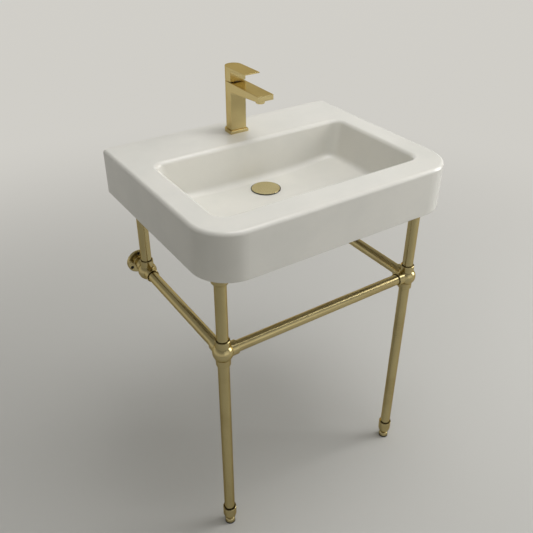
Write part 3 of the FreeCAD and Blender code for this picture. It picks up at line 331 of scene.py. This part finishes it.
class StudioSettings(PropertyGroup):
    """The floor, the room's light, the lamps and the camera"""

    floor: colour_setting(
        "Floor", "Colour of the studio's floor near the basin", (0.56, 0.555, 0.53)
    )
    backdrop: colour_setting(
        "Backdrop", "Colour of the room, and of the floor far off", (0.62, 0.605, 0.565)
    )
    sky: share_setting("Room light", "Strength of the even light from all round", 0.30)
    warmth: colour_setting(
        "Room tint", "Tint of the even light from all round", (1.0, 0.985, 0.93)
    )
    ceiling: power_setting("Ceiling lamp", "Power of the lamp overhead", 27)
    window: power_setting("Window lamp", "Power of the tall lamp on the right", 35)
    strip: power_setting("Strip lamp", "Power of the narrow lamp above the front", 2.2)
    front: power_setting("Front lamp", "Power of the wide lamp in front", 8)
    back: power_setting("Back lamp", "Power of the soft lamp behind", 5.5)
    stand: FloatVectorProperty(
        name="Camera", description="Place of the camera", subtype="XYZ", unit="LENGTH", size=3,
        default=(-0.7491, -1.0784, 1.4262),
    )
    yaw: angle_setting("Yaw", "Camera's turn from the back wall", 33.693)
    pitch: angle_setting("Pitch", "Camera's tilt, down is negative", -33.057)
    roll: angle_setting("Roll", "Camera's roll", 0.206)
    lens: FloatProperty(
        name="Lens", description="Focal length in mm on a 36 mm sensor", min=10, default=43.698
    )


class BasinDressing(PropertyGroup):
    """All settings of the dressing"""

    glaze: PointerProperty(type=GlazeSettings)
    metal: PointerProperty(type=MetalSettings)
    soft: PointerProperty(type=SoftSettings)
    thread: PointerProperty(type=ThreadSettings)
    studio: PointerProperty(type=StudioSettings)


# Materials.


def dress(finish, *names):
    """Gives the CAD nodes of these names a material."""
    for name in names:
        NODES[name].material_slots[0].material = finish.material


def bare_clay(finish, corner):
    """Where the basin has no glaze: its back, its underside and the hollow under its deck."""
    bowl_x, bowl_y, bowl_forward = 0.262, 0.160, 0.0295  # half sizes and place of the bowl's shell
    deck, wall = (0.014, 0.017), (0.009, 0.011)  # the depths over which deck and skirt end
    rear = (0.0012, 0.0004)  # how far before the back face the glaze starts and ends giving way
    x, y, z = finish.axes()
    _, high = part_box("basin")
    back = finish.fade(y, high.y - rear[0], high.y - rear[1])
    under = finish.fade(finish.facing_up() * -1, 0.25, 0.6)
    past_x = (abs(x) - (high.x - corner)).at_least(0)
    past_y = (y * -1 - (high.y - corner)).at_least(0)
    depth = corner - (past_x * past_x + past_y * past_y) ** 0.5
    inside = finish.fade(depth.at_most(high.y - y), *wall)
    below_deck = finish.fade(z * -1, deck[0] - high.z, deck[1] - high.z)
    outside_bowl = (abs(x) - bowl_x).at_least(abs(y + bowl_forward) - bowl_y)
    hollow = inside * below_deck * finish.fade(outside_bowl, 0, 0.003)
    return back.at_least(under).at_least(hollow)


def glazed_ceramic(glaze):
    """White glaze with soft ripples, and bare clay where no glaze is."""
    finish = Finish("glazed_ceramic")
    bare = bare_clay(finish, glaze.corner)
    clouds = finish.noise(9, detail=3)
    ripples = finish.noise(55, roughness=0.45)
    grain = finish.noise(1900, roughness=0.6)
    white = finish.blend(finish.fade(clouds, 0.35, 0.7), glaze.glaze, glaze.pooled)
    clay = finish.blend(finish.noise(40, detail=3), glaze.clay, toned(glaze.clay, 0.9))
    finish.set(Base_Color=finish.blend(bare, white, clay))
    rough = finish.fade(bare, 0, 1, glaze.gloss, glaze.matt)
    finish.set(Roughness=rough + (clouds - 0.5) * 0.03)
    smooth = finish.bump(ripples, glaze.ripple)
    finish.set(Normal=finish.bump(grain * bare, depth=0.0002, under=smooth))
    finish.set(IOR=1.52)
    return finish


def satin_gold(metal, name, along, gold=None, softened=0):
    """Satin gold with fine brush lines across a direction, whose edges may catch the light."""
    finish = Finish(name)
    gold = gold or metal.gold
    fine, coarse = 1 / metal.brush, 55
    brushed = tuple(fine if part else coarse for part in along)
    lines = finish.noise(roughness=0.6, stretch=brushed)
    patches = finish.noise(14, detail=3, roughness=0.55)
    smears = finish.noise(roughness=0.6, stretch=(30, 30, 70))
    dull = finish.fade(patches, 0.42, 0.75)
    deep = [g * d / m for g, d, m in zip(gold, metal.deep, metal.gold)]
    colour = finish.blend(dull * 0.55, gold, deep)
    colour = finish.blend(finish.fade(lines, 0.3, 0.8) * 0.16, colour, deep)
    finish.set(Base_Color=colour, Metallic=1.0, Specular_Tint=(*metal.edge, 1))
    uneven = (lines - 0.5) * 0.10 + (smears - 0.5) * 0.06 + dull * 0.04
    finish.set(Roughness=uneven + metal.satin)
    under = None
    if softened:
        under = finish.node("ShaderNodeBevel", {"samples": 6}, {"Radius": softened})
    finish.set(Normal=finish.bump(lines, depth=0.000012, under=under))
    return finish


def turned_brass(metal):
    """Uncoated brass with fine turning marks and a little tarnish."""
    finish = Finish("turned_brass")
    marks = finish.noise(roughness=0.6, stretch=(60, 60, 2600))
    tarnish = finish.fade(finish.noise(90, detail=3, roughness=0.6), 0.45, 0.75)
    colour = finish.blend(tarnish * 0.6, metal.brass, toned(metal.brass, 0.55))
    finish.set(Base_Color=colour, Metallic=1.0)
    finish.set(Roughness=marks * 0.18 + tarnish * 0.18 + 0.16)
    finish.set(Normal=finish.bump(marks, depth=0.00002))
    return finish


def zinc_steel(metal):
    """Zinc plated steel with a faint spangle."""
    finish = Finish("zinc_steel")
    spangle = finish.node("ShaderNodeTexVoronoi", None, {"Vector": finish.place(), "Scale": 700})
    smudge = finish.noise(120, detail=3, roughness=0.6)
    finish.set(Base_Color=finish.blend(smudge, metal.zinc, toned(metal.zinc, 0.8)), Metallic=1.0)
    finish.set(Roughness=spangle * 0.2 + smudge * 0.15 + 0.24)
    finish.set(Normal=finish.bump(smudge, depth=0.00003))
    return finish


def blackened_steel(metal):
    """Steel with a black oxide skin that rubs through in specks."""
    finish = Finish("blackened_steel")
    rubbed = finish.fade(finish.noise(900, detail=3, roughness=0.6), 0.62, 0.8)
    colour = finish.blend(rubbed * 0.5, metal.black, toned(metal.zinc, 0.4))
    finish.set(Base_Color=colour, Metallic=1.0, Roughness=finish.noise(1500) * 0.2 + 0.3)
    return finish


def threaded_foot(metal, thread, name, centre):
    """Satin gold foot, darkened as painted shade, whose stem is zinc plated and has a thread cut
    in it.
    """
    stem_edge, stem_foot = (0.0054, 0.0056), (0.0142, 0.0144)  # the stem's radius and lower end
    # The foot takes the tube gold, darkened as painted shade.
    finish = satin_gold(metal, name, ALONG_Z, metal.tube)
    x, y, z = finish.axes()
    x, y = x - centre.x, y - centre.y
    turned = finish.with_math("ARCTAN2", y, x) / math.tau
    ridge = finish.with_math("PINGPONG", z / thread.foot_pitch - turned, 0.5) * 2
    radius = (x * x + y * y) ** 0.5
    stem = finish.fade(radius, *stem_edge, 1, 0) * finish.fade(z, *stem_foot)
    finish.set(Base_Color=finish.blend(stem, finish.fed["Base_Color"], metal.zinc))
    finish.set(Normal=finish.bump(ridge * stem, depth=0.0006))
    return finish


def moulded_plastic(soft, name="moulded_plastic"):
    """White plastic with a fine moulded texture."""
    finish = Finish(name)
    skin = finish.noise(1500)
    finish.set(Base_Color=finish.blend(finish.noise(50), soft.plastic, toned(soft.plastic, 0.94)))
    finish.set(Roughness=skin * 0.18 + 0.34, Normal=finish.bump(skin, depth=0.00002))
    return finish


def aerator_screen(soft):
    """White plastic with the fine square holes of a water screen on its underside, the holes
    darkened as painted shade.
    """
    finish = moulded_plastic(soft, "aerator_screen")
    x, y, _ = finish.axes()
    across, along = (finish.with_math("PINGPONG", part / soft.mesh, 0.5) * 2 for part in (x, y))
    underside = finish.fade(finish.facing_up() * -1, 0.8, 0.95)
    shaded_hole = finish.fade(across.at_most(along), 0.35, 0.5) * underside
    # The holes are darkened as painted shade, for the dark depth behind the screen.
    finish.set(Base_Color=finish.blend(shaded_hole, soft.plastic, toned(soft.plastic, 0.12)))
    finish.set(Normal=finish.bump(shaded_hole * -1, depth=0.0004))
    return finish


def matt_rubber(soft):
    """Black rubber with a dusty, finely pitted skin."""
    finish = Finish("matt_rubber")
    pits = finish.noise(2400, roughness=0.6)
    dust = finish.fade(finish.noise(60, detail=4, roughness=0.65), 0.4, 0.8)
    finish.set(Base_Color=finish.blend(dust * 0.4, soft.rubber, soft.dust))
    finish.set(Roughness=pits * 0.2 + dust * 0.15 + 0.55)
    finish.set(Normal=finish.bump(pits, depth=0.00005))
    return finish


# Modelling helpers.


def mesh_of(name, bm):
    """Makes a bmesh into a mesh, and frees it."""
    mesh = bpy.data.meshes.new(name)
    bm.to_mesh(mesh)
    bm.free()
    return mesh


def put_in_scene(name, data):
    """Makes an object of a mesh, lamp or camera."""
    made = bpy.data.objects.new(name, data)
    bpy.context.scene.collection.objects.link(made)
    return made


def finished_piece(name, bm, body, finish):
    """Makes a bmesh into a piece that rides on a body and takes one finish."""
    bmesh.ops.remove_doubles(bm, verts=bm.verts, dist=SAME_PLACE)
    bmesh.ops.recalc_face_normals(bm, faces=bm.faces)
    mesh = mesh_of(name, bm)
    mesh.shade_smooth()
    mesh.set_sharp_from_angle(angle=SHARP_ANGLE)
    mesh.materials.append(finish.material)
    piece = put_in_scene(name, mesh)
    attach(piece, body)
    return piece


def spin_profile(bm, profile, steps):
    """Spins a line of (radius, height) points that starts, and may end, on the vertical axis."""
    points = [bm.verts.new((radius, 0, height)) for radius, height in profile]
    edges = [bm.edges.new(pair) for pair in zip(points, points[1:])]
    bmesh.ops.spin(
        bm,
        geom=[*points, *edges],
        cent=(0, 0, 0),
        axis=(0, 0, 1),
        angle=math.tau,
        steps=steps,
        use_merge=True,
    )
    bmesh.ops.remove_doubles(bm, verts=bm.verts, dist=SAME_PLACE)


def wind_ridge(bm, radius, low, high, pitch, depth, steps):
    """Winds a thread's ridge upwards round the vertical axis: a wedge with closed ends."""
    half_base, half_crest = pitch * 0.42, pitch * 0.08
    sunk = -0.4  # how far the wedge's base lies in the metal, as a share of its depth
    section = [(sunk, -half_base), (sunk, half_base), (1, half_crest), (1, -half_crest)]
    foot = low + pitch / 2
    corners = [bm.verts.new((radius + depth * out, 0, foot + up)) for out, up in section]
    face = bm.faces.new(corners)
    turns = (high - low) / pitch - 1
    count = int(steps * turns)
    bmesh.ops.spin(
        bm,
        geom=[face, *face.edges, *face.verts],
        cent=(0, 0, 0),
        axis=(0, 0, 1),
        dvec=(0, 0, pitch * turns / count),
        angle=math.tau * turns,
        steps=count,
    )


def cut_socket(bm, rim, hexagon, depth):
    """Closes a round rim of edges with a flat face that has a hexagonal socket in it."""
    level = Matrix.Translation((0, 0, next(iter(rim)).verts[0].co.z))
    made = bmesh.ops.create_circle(bm, segments=SOCKET_SIDES, radius=hexagon, matrix=level)
    sides = list({edge for corner in made["verts"] for edge in corner.link_edges})
    bmesh.ops.subdivide_edges(bm, edges=sides, cuts=len(rim) // SOCKET_SIDES - 1)
    loose = [edge for edge in bm.edges if not edge.link_faces]
    reach = hexagon * 1.01  # just past the socket's corners
    mouth = [edge for edge in loose if all(vert.co.xy.length < reach for vert in edge.verts)]
    bmesh.ops.bridge_loops(bm, edges=[*rim, *mouth])
    sunk = bmesh.ops.extrude_edge_only(bm, edges=mouth)["geom"]
    verts = [part for part in sunk if isinstance(part, bmesh.types.BMVert)]
    edges = [part for part in sunk if isinstance(part, bmesh.types.BMEdge)]
    bmesh.ops.translate(bm, verts=verts, vec=(0, 0, -depth))
    bmesh.ops.contextual_create(bm, geom=edges)


def socket_screw(profile, hexagon, depth):
    """A round screw, spun from its foot to the rim of its head, with a hexagonal socket."""
    bm = bmesh.new()
    spin_profile(bm, profile, SCREW_STEPS)
    rim = [edge for edge in bm.edges if edge.is_boundary]
    cut_socket(bm, rim, hexagon, depth)
    return bm


def set_in(target, bm, place, direction):
    """Moves a bmesh so that its axis leaves a place in a direction, and adds it to another."""
    turn = Vector(direction).to_track_quat("Z", "Y").to_matrix().to_4x4()
    bmesh.ops.transform(bm, verts=bm.verts, matrix=Matrix.Translation(place) @ turn)
    carrier = mesh_of("carrier", bm)
    target.from_mesh(carrier)
    bpy.data.meshes.remove(carrier)


def middle_of(name):
    low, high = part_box(name)
    return (low + high) / 2


def move_over(bm, name):
    """Moves a bmesh from the world's vertical axis to that of a CAD node."""
    centre = middle_of(name)
    bmesh.ops.translate(bm, verts=bm.verts, vec=(centre.x, centre.y, 0))


def look_from(camera, yaw, pitch, roll):
    """Turns the camera object to a yaw from +Y, a pitch and a roll."""
    level_reach = math.cos(pitch)
    forward = Vector((math.sin(yaw) * level_reach, math.cos(yaw) * level_reach, math.sin(pitch)))
    level = Vector((math.cos(yaw), -math.sin(yaw), 0))
    across = math.cos(roll) * level + math.sin(roll) * level.cross(forward)
    above = across.cross(forward)
    turned = Matrix((across, above, -forward)).transposed()
    camera.rotation_euler = turned.to_euler()


# One operator for each piece or group of like pieces.


class BASIN_OT_glaze(Operator):
    """Glaze the basin"""

    bl_idname = "basin.glaze"
    bl_label = "Glaze the Basin"

    def execute(self, context):
        dress(glazed_ceramic(context.scene.basin_dressing.glaze), "basin")
        return {"FINISHED"}


class BASIN_OT_frame_metal(Operator):
    """Give the tubes, fittings and flanges their satin gold, darkened as painted shade"""

    bl_idname = "basin.frame_metal"
    bl_label = "Finish the Frame"

    def execute(self, context):
        metal = context.scene.basin_dressing.metal
        # The frame takes the tube gold, darkened as painted shade.
        upright = satin_gold(metal, "satin_gold_upright", ALONG_Z, metal.tube)
        across = satin_gold(metal, "satin_gold_across", ALONG_X, metal.tube)
        back = satin_gold(metal, "satin_gold_back", ALONG_Y, metal.tube)
        cast = satin_gold(metal, "satin_gold_cast", ALL_WAYS, metal.tube)
        dress(across, "front_rail")
        for side, _ in SIDES:
            dress(upright, f"upper_leg_{side}", f"lower_leg_{side}", f"rear_post_{side}")
            dress(upright, f"front_top_cup_{side}", f"rear_top_cup_{side}")
            dress(upright, f"foot_cup_{side}")
            dress(cast, f"front_fitting_{side}", f"rear_fitting_{side}")
            dress(back, f"side_rail_{side}", f"wall_flange_{side}")
        return {"FINISHED"}


class BASIN_OT_tap_metal(Operator):
    """Give the tap and the drain their satin gold, with a painted highlight on the drain's cap"""

    bl_idname = "basin.tap_metal"
    bl_label = "Finish the Tap and Drain"

    def execute(self, context):
        metal = context.scene.basin_dressing.metal
        body = satin_gold(metal, "satin_gold_tap", ALONG_Z, softened=metal.softened)
        top = satin_gold(metal, "satin_gold_lever", ALONG_X, softened=metal.softened)
        under = satin_gold(metal, "satin_gold_drain", ALONG_Z)
        # The cap takes the paler gold: a painted highlight.
        cap = satin_gold(metal, "satin_gold_cap", ALONG_X, metal.cap_highlight)
        dress(body, "tap_body", "tap_base_plate", "aerator_housing")
        dress(top, "lever_handle")
        dress(cap, "drain_cap")
        dress(under, "drain_body", "drain_tailpiece", "tailpiece_nut")
        return {"FINISHED"}


class BASIN_OT_hidden_fixings(Operator):
    """Finish the brass, steel, rubber and plastic fixings"""

    bl_idname = "basin.hidden_fixings"
    bl_label = "Finish the Fixings"

    def execute(self, context):
        dressing = context.scene.basin_dressing
        brass = turned_brass(dressing.metal)
        dress(brass, "cartridge_nut", "drain_cap_stop_nut", "drain_lock_nut")
        dress(brass, "tap_shank", "tap_stud_nut")
        steel = zinc_steel(dressing.metal)
        dress(steel, "lever_grub_screw", "lever_pivot_pin", "lever_stem", "tap_clamp_plate")
        rubber = matt_rubber(dressing.soft)
        dress(rubber, "drain_cap_seal", "drain_gasket", "drain_under_gasket", "tap_gasket")
        dress(rubber, "tap_rubber_washer", "tailpiece_seal", "top_cup_washers")
        dress(rubber, "foot_pad_left", "foot_pad_right")
        plastic = moulded_plastic(dressing.soft)
        dress(plastic, "cartridge_body", "cartridge_turret", "drain_friction_washer")
        dress(plastic, "stud_plugs")
        return {"FINISHED"}


class BASIN_OT_tap_rod(Operator):
    """Cut the thread on the rod that holds the tap"""

    bl_idname = "basin.tap_rod"
    bl_label = "Thread the Tap's Rod"

    def execute(self, context):
        dressing = context.scene.basin_dressing
        thread = dressing.thread
        depth = thread.rod_pitch * 0.54  # a metric thread's depth for its pitch
        bevel = depth
        core = thread.rod_radius - depth
        tip = core - bevel
        low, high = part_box("tap_stud")
        bottom, top = low.z, high.z
        foot, head = bottom + bevel, top - bevel
        bm = bmesh.new()
        profile = [(0, bottom), (tip, bottom), (core, foot), (core, head), (tip, top), (0, top)]
        spin_profile(bm, profile, thread.steps)
        wind_ridge(bm, core, foot, head, thread.rod_pitch, depth, thread.steps)
        move_over(bm, "tap_stud")
        rod = finished_piece("threaded_rod", bm, "stand", zinc_steel(dressing.metal))
        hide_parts("tap_stud")
        return {"FINISHED"}


class BASIN_OT_drain_thread(Operator):
    """Cut the thread on the drain below its lock nut"""

    bl_idname = "basin.drain_thread"
    bl_label = "Thread the Drain"

    def execute(self, context):
        dressing = context.scene.basin_dressing
        thread = dressing.thread
        core, depth = 0.0214, 0.00075
        nut_low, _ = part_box("drain_lock_nut")
        low, high = 0.6987, nut_low.z - 0.0001  # from the drain's end to a hair below the nut
        bm = bmesh.new()
        wind_ridge(bm, core, low, high, thread.drain_pitch, depth, thread.steps * 2)
        move_over(bm, "drain_body")
        finish = satin_gold(dressing.metal, "satin_gold_thread", ALONG_Z)
        finished_piece("drain_thread", bm, "stand", finish)
        return {"FINISHED"}


class BASIN_OT_threaded_feet(Operator):
    """Cut the threads on the levelling feet's stems"""

    bl_idname = "basin.threaded_feet"
    bl_label = "Thread the Feet"

    def execute(self, context):
        metal = context.scene.basin_dressing.metal
        thread = context.scene.basin_dressing.thread
        for side, _ in SIDES:
            foot = f"levelling_foot_{side}"
            dress(threaded_foot(metal, thread, f"threaded_foot_{side}", middle_of(foot)), foot)
        return {"FINISHED"}


class BASIN_OT_aerator(Operator):
    """Give the aerator its water screen"""

    bl_idname = "basin.aerator"
    bl_label = "Screen the Aerator"

    def execute(self, context):
        dress(aerator_screen(context.scene.basin_dressing.soft), "aerator_insert")
        return {"FINISHED"}


class BASIN_OT_set_screws(Operator):
    """Put the set screws in the fittings' arms, on the sides that don't show from the front"""

    bl_idname = "basin.set_screws"
    bl_label = "Fit the Set Screws"

    def execute(self, context):
        dressing = context.scene.basin_dressing
        finish = blackened_steel(dressing.metal)
        radius = dressing.thread.set_screw
        hexagon, socket = radius * 0.58, 0.00022
        arm, along = 0.0159, 0.024  # an arm's radius, and the screw's way out from the middle
        proud, sunk, chamfer = 0.0003, 0.001, 0.0002
        edge = [(radius, proud - chamfer), (radius - chamfer, proud)]
        profile = [(0, -sunk), (radius, -sunk), *edge]
        behind = Vector((1, 1, 0)).normalized()
        up, back = Vector((0, 0, 1)), Vector((0, 1, 0))
        down, front = Vector((0, 0, -1)), Vector((0, -1, 0))
        height = middle_of("front_rail").z
        for side, sign in SIDES:
            inwards = Vector((-sign, 0, 0))
            # Each fitting, the tube it stands on, and for each screw its arm and where it faces.
            fittings = (
                ("front_fitting", "lower_leg",
                 [(up, behind), (down, behind), (inwards, down), (back, down)]),
                ("rear_fitting", "rear_post", [(up, inwards), (front, down), (back, down)]),
            )
            for fitting, tube, screws in fittings:
                axis = middle_of(f"{tube}_{side}")
                bm = bmesh.new()
                for reach, facing in screws:
                    place = Vector((axis.x, axis.y, height)) + reach * along + facing * arm
                    set_in(bm, socket_screw(profile, hexagon, socket), place, facing)
                finished_piece(f"{fitting}_{side}_set_screws", bm, "stand", finish)
        return {"FINISHED"}


class BASIN_OT_wall_screws(Operator):
    """Put the countersunk screws in the wall flanges"""

    bl_idname = "basin.wall_screws"
    bl_label = "Fit the Wall Screws"

    def execute(self, context):
        dressing = context.scene.basin_dressing
        finish = blackened_steel(dressing.metal)
        head = dressing.thread.wall_screw
        hexagon, socket = head * 0.52, 0.0018
        shank, deep, face, chamfer = 0.0026, 0.0058, -0.0002, 0.0002
        cone = face - (head - shank) - chamfer
        edge = [(head, face - chamfer), (head - chamfer, face)]
        profile = [(0, -deep), (shank, -deep), (shank, cone), *edge]
        thickness, circle, count = 0.006, 0.023, 3  # of the flange and its holes
        spacing = math.tau / count
        for side, _ in SIDES:
            _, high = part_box(f"wall_flange_{side}")
            centre = middle_of(f"wall_flange_{side}")
            bm = bmesh.new()
            for number in range(count):
                angle = math.pi / 2 + number * spacing
                x = centre.x + circle * math.cos(angle)
                z = centre.z + circle * math.sin(angle)
                screw = socket_screw(profile, hexagon, socket)
                set_in(bm, screw, (x, high.y - thickness, z), (0, -1, 0))
            finished_piece(f"wall_screws_{side}", bm, "stand", finish)
        return {"FINISHED"}


class BASIN_OT_stage(Operator):
    """Set up the floor, the lamps and the camera"""

    bl_idname = "basin.stage"
    bl_label = "Set Up the Studio"

    def execute(self, context):
        studio = context.scene.basin_dressing.studio
        self.add_floor(studio)
        for name, size, place in LAMPS:
            self.add_lamp(f"{name}_lamp", getattr(studio, name), size, place)
        self.light_room(context.scene, studio)
        self.add_camera(context.scene, studio)
        context.scene.view_settings.view_transform = "Standard"
        return {"FINISHED"}

    def add_floor(self, studio):
        """Lays a floor that is lit near the basin and takes the backdrop's colour far off."""
        bm = bmesh.new()
        bmesh.ops.create_grid(bm, x_segments=1, y_segments=1, size=20)
        mesh = mesh_of("floor", bm)
        floor = put_in_scene("floor", mesh)
        finish = Finish("floor")
        x, y, _ = finish.axes()
        aside, near, far = 0.35, 0.6, 3.0  # the lit patch's place to the left front, and its ends
        away = ((x + aside) * (x + aside) + (y + aside) * (y + aside)) ** 0.5
        shown = finish.fade(away, near, far) * finish.seen()
        finish.set(Base_Color=finish.blend(shown, studio.floor, BLACK))
        finish.set(Roughness=0.7, Specular_IOR_Level=0.1)
        finish.set(Emission_Color=finish.blend(shown, BLACK, studio.backdrop), Emission_Strength=1)
        mesh.materials.append(finish.material)

    def add_lamp(self, name, power, size, place):
        light = bpy.data.lights.new(name, "AREA")
        light.shape = "RECTANGLE"
        light.size, light.size_y = size
        light.energy = power
        lamp = put_in_scene(name, light)
        lamp.location = place
        aim = Vector(LAMP_AIM) - Vector(place)
        lamp.rotation_euler = aim.to_track_quat("-Z", "Y").to_euler()

    def light_room(self, scene, studio):
        """Lights the room evenly, and shows the backdrop's colour low down."""
        world = bpy.data.worlds.new("room")
        room = NodeWork(world, "Background")
        _, _, height = room.axes()
        low, high = 0.1, 0.42  # where the backdrop starts and ends giving way to the room's light
        shown = room.fade(height, low, high, 1, 0) * room.seen()
        light = toned(studio.warmth, studio.sky)
        room.set(Color=room.blend(shown, light, studio.backdrop), Strength=1)
        scene.world = world

    def add_camera(self, scene, studio):
        lens = bpy.data.cameras.new("photo_view")
        lens.sensor_width = 36
        lens.lens = studio.lens
        lens.clip_start = 0.05
        camera = put_in_scene("photo_view", lens)
        camera.location = studio.stand
        look_from(camera, studio.yaw, studio.pitch, studio.roll)
        scene.camera = camera


class BASIN_PT_dressing(Panel):
    """Lists the dressing's steps in the sidebar"""

    bl_idname = "BASIN_PT_dressing"
    bl_label = "Console Basin"
    bl_space_type = "VIEW_3D"
    bl_region_type = "UI"
    bl_category = "Basin"

    def draw(self, context):
        dressing = context.scene.basin_dressing
        for name in BasinDressing.__annotations__:
            group = getattr(dressing, name)
            box = self.layout.box()
            for setting in group.__annotations__:
                box.prop(group, setting)
        for step in STEPS:
            self.layout.operator(step.bl_idname)


STEPS = (
    BASIN_OT_glaze,
    BASIN_OT_frame_metal,
    BASIN_OT_tap_metal,
    BASIN_OT_hidden_fixings,
    BASIN_OT_tap_rod,
    BASIN_OT_drain_thread,
    BASIN_OT_threaded_feet,
    BASIN_OT_aerator,
    BASIN_OT_set_screws,
    BASIN_OT_wall_screws,
    BASIN_OT_stage,
)
SETTINGS = (
    GlazeSettings, MetalSettings, SoftSettings, ThreadSettings, StudioSettings, BasinDressing,
)
CLASSES = (*SETTINGS, *STEPS, BASIN_PT_dressing)


def register():
    for kind in CLASSES:
        bpy.utils.register_class(kind)
    Scene.basin_dressing = PointerProperty(type=BasinDressing)


def unregister():
    del Scene.basin_dressing
    for kind in reversed(CLASSES):
        bpy.utils.unregister_class(kind)


def main():
    register()
    bpy.ops.basin.glaze()
    bpy.ops.basin.frame_metal()
    bpy.ops.basin.tap_metal()
    bpy.ops.basin.hidden_fixings()
    bpy.ops.basin.tap_rod()
    bpy.ops.basin.drain_thread()
    bpy.ops.basin.threaded_feet()
    bpy.ops.basin.aerator()
    bpy.ops.basin.set_screws()
    bpy.ops.basin.wall_screws()
    bpy.ops.basin.stage()


if __name__ == "__main__":
    main()
